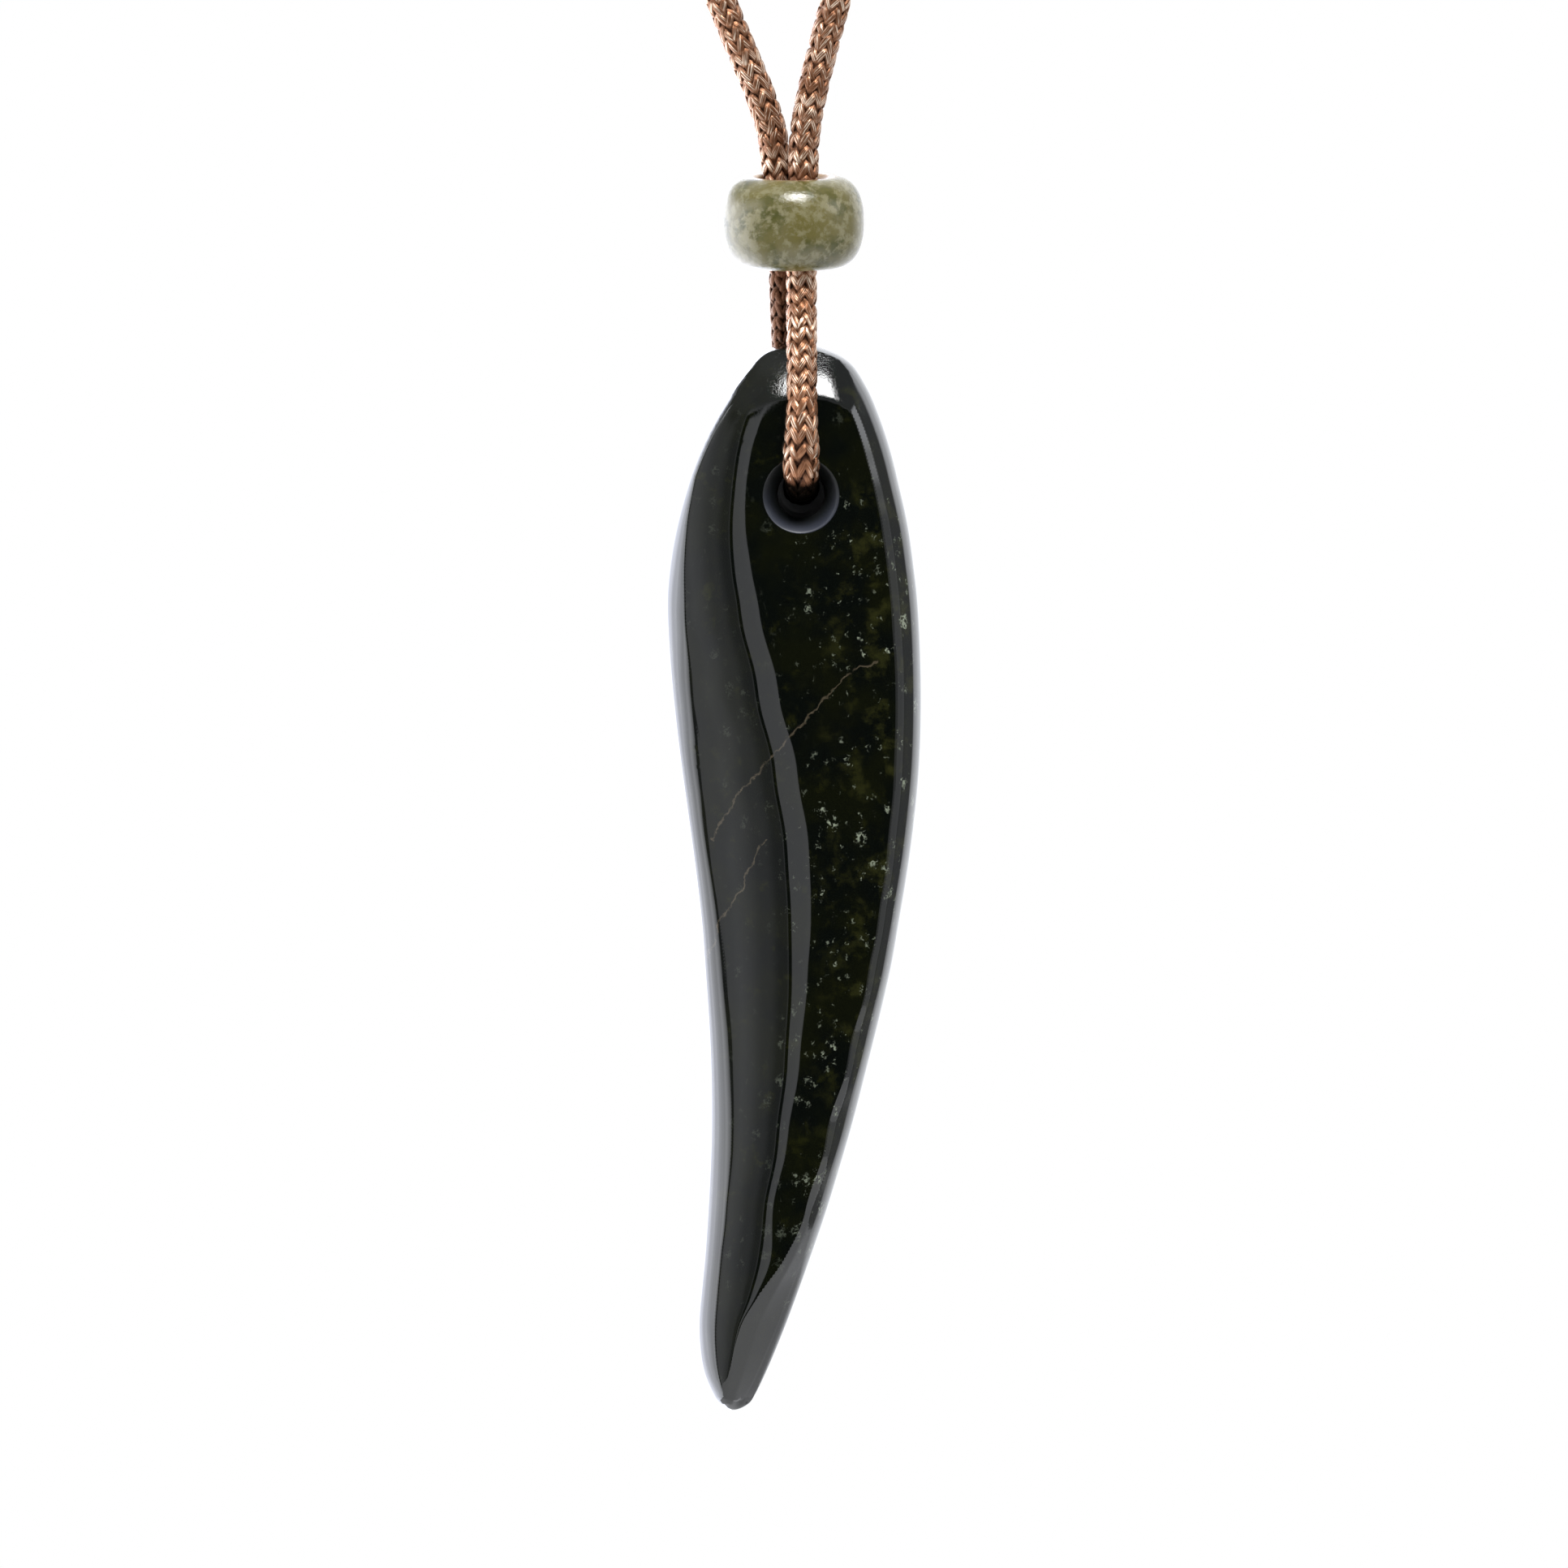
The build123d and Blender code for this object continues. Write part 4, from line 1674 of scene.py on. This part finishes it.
    def back(self, spots: np.ndarray, gap: np.ndarray) -> np.ndarray:
        """Height of the crowned back over the rim plane.

        Args:
            spots: Places as x and z.
            gap: Distance of each from the outline.

        Returns:
            Heights away from the viewer.
        """
        x, z = spots[:, 0], spots[:, 1]
        left, right = self.column("left", z), self.column("right", z)
        middle, half = (left + right) / 2, np.maximum((right - left) / 2, self.least_half_width)
        crown = 1 - self.back_crown * np.clip((x - middle) / half, -1.0, 1.0) ** 2
        full = self.back_height * self.column("depth", z) * crown
        inside = np.clip(1 - gap / self.back_rim, 0.0, 1.0)
        beyond = np.maximum(gap - self.back_rim, 0.0)
        rim = self.back_height * self.back_over * np.sqrt(1 - inside ** 2) + beyond
        return np.maximum(soft_min(np.stack([rim, full]), self.back_softness), 0.0)

    def height_at(self, side: Side, spots: np.ndarray, gap: np.ndarray) -> np.ndarray:
        """Height of one face over the rim plane, with the hole's countersink cut in.

        Args:
            side: Which face.
            spots: Places as x and z.
            gap: Distance of each from the outline.

        Returns:
            Heights.
        """
        surface = self.front if side is Side.FRONT else self.back
        height = surface(spots, gap)
        hole = np.array([[self.hole_x, self.hole_z]])
        level = surface(hole, self.rim_gap(hole)[0])[0]
        inward = self.bore_radius + self.sink_width - np.linalg.norm(spots - hole, axis=1)
        sunk = level - self.sink_slope * inward - self.sink_bend * np.maximum(inward, 0.0) ** 2
        near = inward > -self.sink_reach * self.sink_width
        return np.where(near, soft_min(np.stack([height, sunk]), self.sink_softness), height)

    def sheet(self, side: Side, spots: np.ndarray) -> tuple[np.ndarray, np.ndarray]:
        """Vertices and smooth normals of one face of the drop.

        Args:
            side: Which face.
            spots: Places as x and z, with the outline first.

        Returns:
            Vertices and normals.
        """
        gap, away = self.rim_gap(spots)
        gap[:len(self.outline)] = 0.0
        height = self.height_at(side, spots, gap)
        slopes = []
        for axis in range(2):
            ends = []
            for nudge in (-self.NUDGE, self.NUDGE):
                moved = spots.copy()
                moved[:, axis] += nudge
                ends.append(self.height_at(side, moved, np.maximum(gap + nudge * away[:, axis], 0.0)))
            slopes.append((ends[1] - ends[0]) / (2 * self.NUDGE))
        vertices = np.stack([spots[:, 0], self.rim_y + side.value * height, spots[:, 1]], axis=1)
        normals = unit(np.stack([-slopes[0], np.full(len(spots), float(side.value)), -slopes[1]], axis=1))
        inward = self.inward()
        edge = len(inward)
        normals[:edge] = np.stack([-inward[:, 0], np.zeros(edge), -inward[:, 1]], axis=1)
        return vertices, normals

    def ring(self, radius: float) -> np.ndarray:
        """Points round the hole."""
        turn = full_turn(self.HOLE_SIDES)
        return np.stack([self.hole_x + radius * np.cos(turn), self.hole_z + radius * np.sin(turn)], axis=1)

    @staticmethod
    def clear_of(taken: np.ndarray, offered: np.ndarray, spacing: float) -> np.ndarray:
        """Thins out spots beside earlier ones.

        Args:
            taken: Places that are in use.
            offered: Places to choose from.
            spacing: Least distance from every taken one.

        Returns:
            The offered places that keep it.
        """
        tree = kdtree.KDTree(len(taken))
        for number, spot in enumerate(taken):
            tree.insert((spot[0], spot[1], 0.0), number)
        tree.balance()
        keep = [tree.find((spot[0], spot[1], 0.0))[2] >= spacing for spot in offered]
        return offered[np.array(keep, dtype=bool)]

    def mesh_rows(self) -> list[tuple[np.ndarray, float]]:
        """Rows of spots for the mesh: along the carved lines, inside the rim and over the rest.

        Returns:
            Each row with the spacing that it keeps from earlier rows.
        """
        low, high = self.outline.min(axis=0), self.outline.max(axis=0)
        rows = []
        for offset in self.LINE_OFFSETS:
            pitch = self.line_pitch if offset else self.line_pitch / 2
            heights = np.arange(low[1] + self.line_end, high[1] - self.line_end, pitch)
            lines = [self.column(name, heights) for name in ("bevel", "cove", "strip", "shoulder")]
            lines += [self.inner_rim(heights), self.turn_line(heights)]
            rows += [(np.stack([line + offset, heights], axis=1), self.line_spacing) for line in lines]
            if not offset:
                rows.append((self.outline + self.inward() * self.narrow_rim, self.line_spacing))
        for offset in self.RIM_OFFSETS[self.EDGE_ROWS:]:
            rows.append((self.outline + self.inward() * offset, self.rim_spacing))
        grid = []
        for number, z in enumerate(np.arange(low[1], high[1], self.grid_pitch * math.sqrt(3) / 2)):
            x = np.arange(low[0] + 0.5 * self.grid_pitch * (number % 2), high[0], self.grid_pitch)
            grid.append(np.stack([x, np.full(len(x), z)], axis=1))
        rows.append((np.concatenate(grid), self.grid_spacing))
        return rows

    def spots(self) -> np.ndarray:
        """Places that the mesh has on each face, seen from the front.

        Returns:
            The places, with the outline first and the bore's edge after it.
        """
        edge_rows = self.RIM_OFFSETS[:self.EDGE_ROWS]
        places = [self.outline]
        places += [self.ring(self.bore_radius + offset) for offset in self.HOLE_OFFSETS]
        places += [self.outline + self.inward() * offset for offset in edge_rows]
        hole = np.array([self.hole_x, self.hole_z])
        ringed = self.bore_radius + self.HOLE_OFFSETS[-1] + self.clear_of_hole
        for row, spacing in self.mesh_rows():
            row = row[self.inside(row)]
            row = row[self.rim_gap(row)[0] > edge_rows[-1] + self.clear_of_rim]
            row = row[np.linalg.norm(row - hole, axis=1) > ringed]
            places.append(self.clear_of(np.concatenate(places), row, spacing))
        return np.concatenate(places)

    def inside(self, spots: np.ndarray) -> np.ndarray:
        """Tells which spots lie inside the outline.

        Args:
            spots: Places as x and z.

        Returns:
            True or false for each.
        """
        x, z = spots[:, 0], spots[:, 1]
        result = np.zeros(len(spots), dtype=bool)
        for first, second in zip(self.outline, np.roll(self.outline, -1, axis=0)):
            if first[1] == second[1]:
                continue
            crosses = (first[1] > z) != (second[1] > z)
            edge_x = first[0] + (z - first[1]) * (second[0] - first[0]) / (second[1] - first[1])
            result ^= crosses & (x < edge_x)
        return result

    def triangles(self, spots: np.ndarray) -> np.ndarray:
        """Triangles between the spots, without the bore, with their corners in one turning direction.

        Args:
            spots: Places as x and z, with the outline first.

        Returns:
            Spot numbers, three to a row, turned to face the viewer.
        """
        edge = [list(range(len(self.outline)))]
        found = geometry.delaunay_2d_cdt([Vector(spot) for spot in spots], [], edge, 1, self.MERGE)
        order = [source[0] for source in found[3]]
        numbers = np.array([[order[corner] for corner in face] for face in found[2]])
        away = np.linalg.norm(spots[numbers].mean(axis=1) - [self.hole_x, self.hole_z], axis=1)
        numbers = numbers[away > self.bore_radius * self.HOLE_SHARE]
        corners = spots[numbers]
        first, second = corners[:, 1] - corners[:, 0], corners[:, 2] - corners[:, 0]
        turned = first[:, 0] * second[:, 1] - first[:, 1] * second[:, 0] < 0
        numbers[turned] = numbers[turned][:, ::-1]
        return numbers

    def bore_wall(self, near: np.ndarray, far: np.ndarray) -> tuple[np.ndarray, np.ndarray]:
        """Wall of the hole, which is narrowest half-way and keeps just clear of the cord.

        Args:
            near: Edge of the bore on the front.
            far: Edge of the bore on the back.

        Returns:
            Vertices between the two edges and their normals, ring by ring.
        """
        turn = full_turn(self.HOLE_SIDES)
        outward = np.stack([np.cos(turn), np.zeros(len(turn)), np.sin(turn)], axis=1)
        rings = []
        for step in range(1, self.WALL_RINGS + 1):
            share = step / (self.WALL_RINGS + 1)
            narrow = math.sin(math.pi * share) ** self.waist_sharpness
            radius = self.bore_radius + (self.waist_radius - self.bore_radius) * narrow
            ring = near + (far - near) * share
            ring[:, 0] = self.hole_x + radius * outward[:, 0]
            ring[:, 2] = self.hole_z + (self.waist_z - self.hole_z) * narrow + radius * outward[:, 2]
            rings.append(ring)
        return np.concatenate(rings), np.concatenate([-outward] * len(rings))

    @staticmethod
    def wall_faces(numbers: list[np.ndarray]) -> list[list[int]]:
        """Quads between rings round the hole.

        Args:
            numbers: Vertex numbers of each ring.

        Returns:
            Vertex numbers of each quad.
        """
        faces = []
        for here, there in zip(numbers, numbers[1:]):
            beside, past = np.roll(here, -1), np.roll(there, -1)
            faces += np.stack([here, there, past, beside], axis=1).tolist()
        return faces

    def build(self, finish: bpy.types.Material) -> bpy.types.Object:
        """Makes the stone from two faces that share the outline and the bore's wall.

        Args:
            finish: Material of the stone.

        Returns:
            The drop.
        """
        spots = self.spots()
        count, edge = len(spots), len(self.outline)
        triangles = self.triangles(spots)
        front, front_normals = self.sheet(Side.FRONT, spots)
        back, back_normals = self.sheet(Side.BACK, spots)
        bore = np.arange(edge, edge + self.HOLE_SIDES)
        walls, wall_normals = self.bore_wall(front[bore], back[bore])
        behind = np.concatenate([np.arange(edge), np.arange(count, 2 * count - edge)])
        rings = [bore]
        rings += list((2 * count - edge + np.arange(len(walls))).reshape(-1, self.HOLE_SIDES))
        rings.append(behind[bore])
        faces = triangles.tolist() + behind[triangles[:, ::-1]].tolist() + self.wall_faces(rings)
        vertices = np.concatenate([front, back[edge:], walls])
        piece = new_piece("jade_drop_stone", vertices, faces, Body.DROP)
        normals = np.concatenate([front_normals, back_normals[edge:], wall_normals])
        piece.data.normals_split_custom_set_from_vertices(normals.tolist())
        piece.data.materials.append(finish)
        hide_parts("jade_drop")
        return piece


class Card(NamedTuple):
    """Part of the light tent that the stones mirror, in degrees round from the viewer and up."""

    left: float
    right: float
    low: float
    high: float
    edge: float
    brightness: float


@dataclass
class Studio:
    """Plain white light tent with a dark opening in front, one lamp above and a pale floor below.

    The floor is in millimetres and the lamp in metres.
    """

    floor_centre: tuple = (80.0, -45.0, -360.0)
    floor_radius: float = 195.0
    floor_sides: int = 96
    floor_greys: tuple = (0.82, 0.88)
    floor_roughness: float = 0.7
    lamp_power: float = 3.2
    lamp_size: tuple = (0.23, 0.14)
    lamp_distance: float = 0.5
    lamp_target: tuple = (0.0, 0.0, -0.215)
    lamp_azimuth: float = 12.5
    lamp_elevation: float = 52.0
    fold_widths: tuple = (0.09, 0.02)
    fold_least: float = 0.65
    fold_gain: float = 0.7
    front_white: tuple = (0.965, 0.985, 1.03, 1.0)
    rear_white: tuple = (0.92, 0.95, 1.08, 1.0)
    rear_azimuths: tuple = (-60.0, -150.0)
    camera_white: tuple = (1.0, 1.0, 1.0, 1.0)

    CARDS = (
        Card(-200.0, 200.0, 16.0, 64.0, 6.0, 0.30),
        Card(-200.0, 200.0, 64.0, 95.0, 8.0, 0.32),
        Card(-200.0, 200.0, -95.0, -34.0, 5.0, 0.60),
        Card(-64.0, -45.0, -60.0, 20.0, 4.0, 0.80),
        Card(-48.0, -42.0, -60.0, 20.0, 4.0, 0.48),
        Card(-43.0, -30.0, -60.0, 20.0, 4.0, 0.20),
        Card(36.0, 74.0, -60.0, 20.0, 4.0, 0.34),
        Card(74.0, 96.0, -60.0, 20.0, 3.0, 0.66),
        Card(98.0, 122.0, -60.0, 20.0, 4.0, 0.30),
        Card(-72.0, -52.0, 15.0, 30.0, 4.0, 3.2),
        Card(64.0, 86.0, 10.0, 27.0, 4.0, 3.0),
        Card(-104.0, -74.0, -90.0, 20.0, 8.0, 3.4),
        Card(-200.0, -98.0, -90.0, 22.0, 10.0, 4.4),
        Card(-200.0, -98.0, 16.0, 70.0, 8.0, 1.0),
        Card(125.0, 200.0, -90.0, 60.0, 8.0, 1.5),
        Card(-30.0, 42.0, -32.0, 15.0, 1.5, 0.02),
        Card(-20.0, -9.0, -40.0, 16.0, 0.8, 0.92),
        Card(-69.0, -62.0, -60.0, 12.0, 1.0, 0.12),
    )

    @staticmethod
    def lit_by(graph: Graph, card: Card, azimuth: Socket, elevation: Socket, light: object) -> Socket:
        """Hangs one card in front of what was there.

        Args:
            graph: Nodes of the world.
            card: The card.
            azimuth: Direction of the ray round from the viewer, in degrees.
            elevation: Direction of the ray upwards, in degrees.
            light: Brightness without the card.

        Returns:
            The brightness with it.
        """
        mask = graph.step(azimuth, card.left - card.edge, card.left + card.edge)
        mask = graph.times(mask, graph.step(azimuth, card.right + card.edge, card.right - card.edge))
        mask = graph.times(mask, graph.step(elevation, card.high + card.edge, card.high - card.edge))
        mask = graph.times(mask, graph.step(elevation, card.low - card.edge, card.low + card.edge))
        return graph.plus(graph.times(mask, card.brightness), graph.times(graph.minus(1.0, mask), light))

    def world(self) -> None:
        """White for the camera, and the tent with its cards for every other ray."""
        world = bpy.data.worlds.new("tent")
        world.use_nodes = True
        bpy.context.scene.world = world
        graph = Graph(world.node_tree)
        x, y, z = graph.split(graph.add("ShaderNodeTexCoord").outputs["Generated"])
        azimuth = graph.times(graph.math("ARCTAN2", x, graph.times(y, -1.0)), 180 / math.pi)
        elevation = graph.times(graph.math("ARCSINE", z), 180 / math.pi)
        light = 1.0
        for card in self.CARDS:
            light = self.lit_by(graph, card, azimuth, elevation, light)
        angles = zip((azimuth, elevation), self.fold_widths)
        across, up = (graph.times(angle, width) for angle, width in angles)
        folds = graph.add("ShaderNodeCombineXYZ", X=across, Y=up)
        folds = graph.noise(folds.outputs[0], 1.0, 2.0)
        light = graph.times(light, graph.math("MULTIPLY_ADD", folds, self.fold_gain, self.fold_least))
        white = graph.mix(graph.step(azimuth, *self.rear_azimuths), self.front_white, self.rear_white)
        tent = graph.add("ShaderNodeBackground", Color=white, Strength=light)
        plain = graph.add("ShaderNodeBackground", Color=self.camera_white, Strength=1.0)
        seen = graph.add("ShaderNodeLightPath").outputs["Is Camera Ray"]
        mixed = graph.add("ShaderNodeMixShader", Fac=seen)
        for number, shader in ((1, tent), (2, plain)):
            graph.feed(mixed.inputs[number], shader.outputs[0])
        graph.add("ShaderNodeOutputWorld", Surface=mixed.outputs[0])

    def lamp(self) -> bpy.types.Object:
        """Small soft lamp above and in front of the drop.

        Returns:
            The lamp.
        """
        light = bpy.data.lights.new("top_lamp", "AREA")
        light.shape = "RECTANGLE"
        light.size, light.size_y = self.lamp_size
        light.energy = self.lamp_power
        lamp = bpy.data.objects.new("top_lamp", light)
        bpy.context.collection.objects.link(lamp)
        azimuth, elevation = math.radians(self.lamp_azimuth), math.radians(self.lamp_elevation)
        ray = Vector((math.sin(azimuth) * math.cos(elevation), -math.cos(azimuth) * math.cos(elevation),
                      math.sin(elevation)))
        lamp.location = Vector(self.lamp_target) + ray * self.lamp_distance
        lamp.rotation_euler = ray.to_track_quat("Z", "Y").to_euler()
        lamp.visible_camera = False
        return lamp

    def floor(self) -> bpy.types.Object:
        """Round pale floor well below the hanging drop.

        Returns:
            The floor.
        """
        count = self.floor_sides
        turn = full_turn(count)
        middle = np.array([self.floor_centre])
        round_edge = np.stack([np.cos(turn), np.sin(turn), np.zeros(count)], axis=1)
        rings = [middle + radius * round_edge for radius in (self.floor_radius * 0.5, self.floor_radius)]
        vertices = np.concatenate([middle, *rings]) * MM
        pairs = [(1 + side, 1 + (side + 1) % count) for side in range(count)]
        faces = [(0, here, there) for here, there in pairs]
        faces += [(here, here + count, there + count, there) for here, there in pairs]
        mesh = bpy.data.meshes.new("floor")
        mesh.from_pydata(vertices.tolist(), [], faces)
        floor = bpy.data.objects.new("floor", mesh)
        bpy.context.collection.objects.link(floor)
        material, graph = start_material("pale_floor")
        grain = graph.noise(millimetre_place(graph), 0.05, 3.0)
        dark, light = ((grey, grey, grey, 1.0) for grey in self.floor_greys)
        colour = graph.mix(grain, dark, light)
        shader = graph.add("ShaderNodeBsdfPrincipled", Base_Color=colour, Roughness=self.floor_roughness)
        graph.add("ShaderNodeOutputMaterial", Surface=shader.outputs[0])
        mesh.materials.append(material)
        return floor

    def build(self) -> None:
        """Sets the tent, the lamp, the floor and plain colours."""
        self.world()
        self.lamp()
        self.floor()
        bpy.context.scene.view_settings.view_transform = "Standard"


@dataclass
class ViewCamera:
    """Camera at the photograph's angle: straight on and a little above."""

    lens: float = 600.0
    frame_width: float = 81.5
    centre_x: float = -0.42
    centre_z: float = -237.5
    elevation: float = 4.0
    clip: tuple = (0.05, 20.0)

    def build(self) -> bpy.types.Object:
        """Makes the camera and sets it as the scene's own.

        Returns:
            The camera.
        """
        data = bpy.data.cameras.new("camera")
        data.lens = self.lens
        data.clip_start, data.clip_end = self.clip
        camera = bpy.data.objects.new("camera", data)
        bpy.context.collection.objects.link(camera)
        distance = self.frame_width * MM * data.lens / data.sensor_width
        tilt = math.radians(self.elevation)
        target = Vector((self.centre_x, 0.0, self.centre_z)) * MM
        camera.location = target + Vector((0.0, -math.cos(tilt), math.sin(tilt))) * distance
        camera.rotation_euler = (math.pi / 2 - tilt, 0.0, 0.0)
        bpy.context.scene.camera = camera
        return camera


def main() -> None:
    """Builds the camera, the cord, the stones and the studio in order."""
    logging.basicConfig(level=logging.INFO, format="%(name)s: %(message)s")
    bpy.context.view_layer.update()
    ViewCamera().build()
    braid = SatinBraid().material()
    pieces = NeckCord().build(braid)
    pieces.append(CordKnot().build(braid))
    pieces.append(JadeBead().build(PaleJade().material()))
    drop = JadeDrop()
    mouth = drop.bore_radius + drop.sink_width
    pieces.append(drop.build(DarkJade(drop.hole_x, drop.hole_z, mouth, drop.top).material()))
    Studio().build()
    for piece in pieces:
        mesh = piece.data
        LOG.info("%s has %d vertices and %d faces", piece.name, len(mesh.vertices), len(mesh.polygons))


if __name__ == "__main__":
    main()
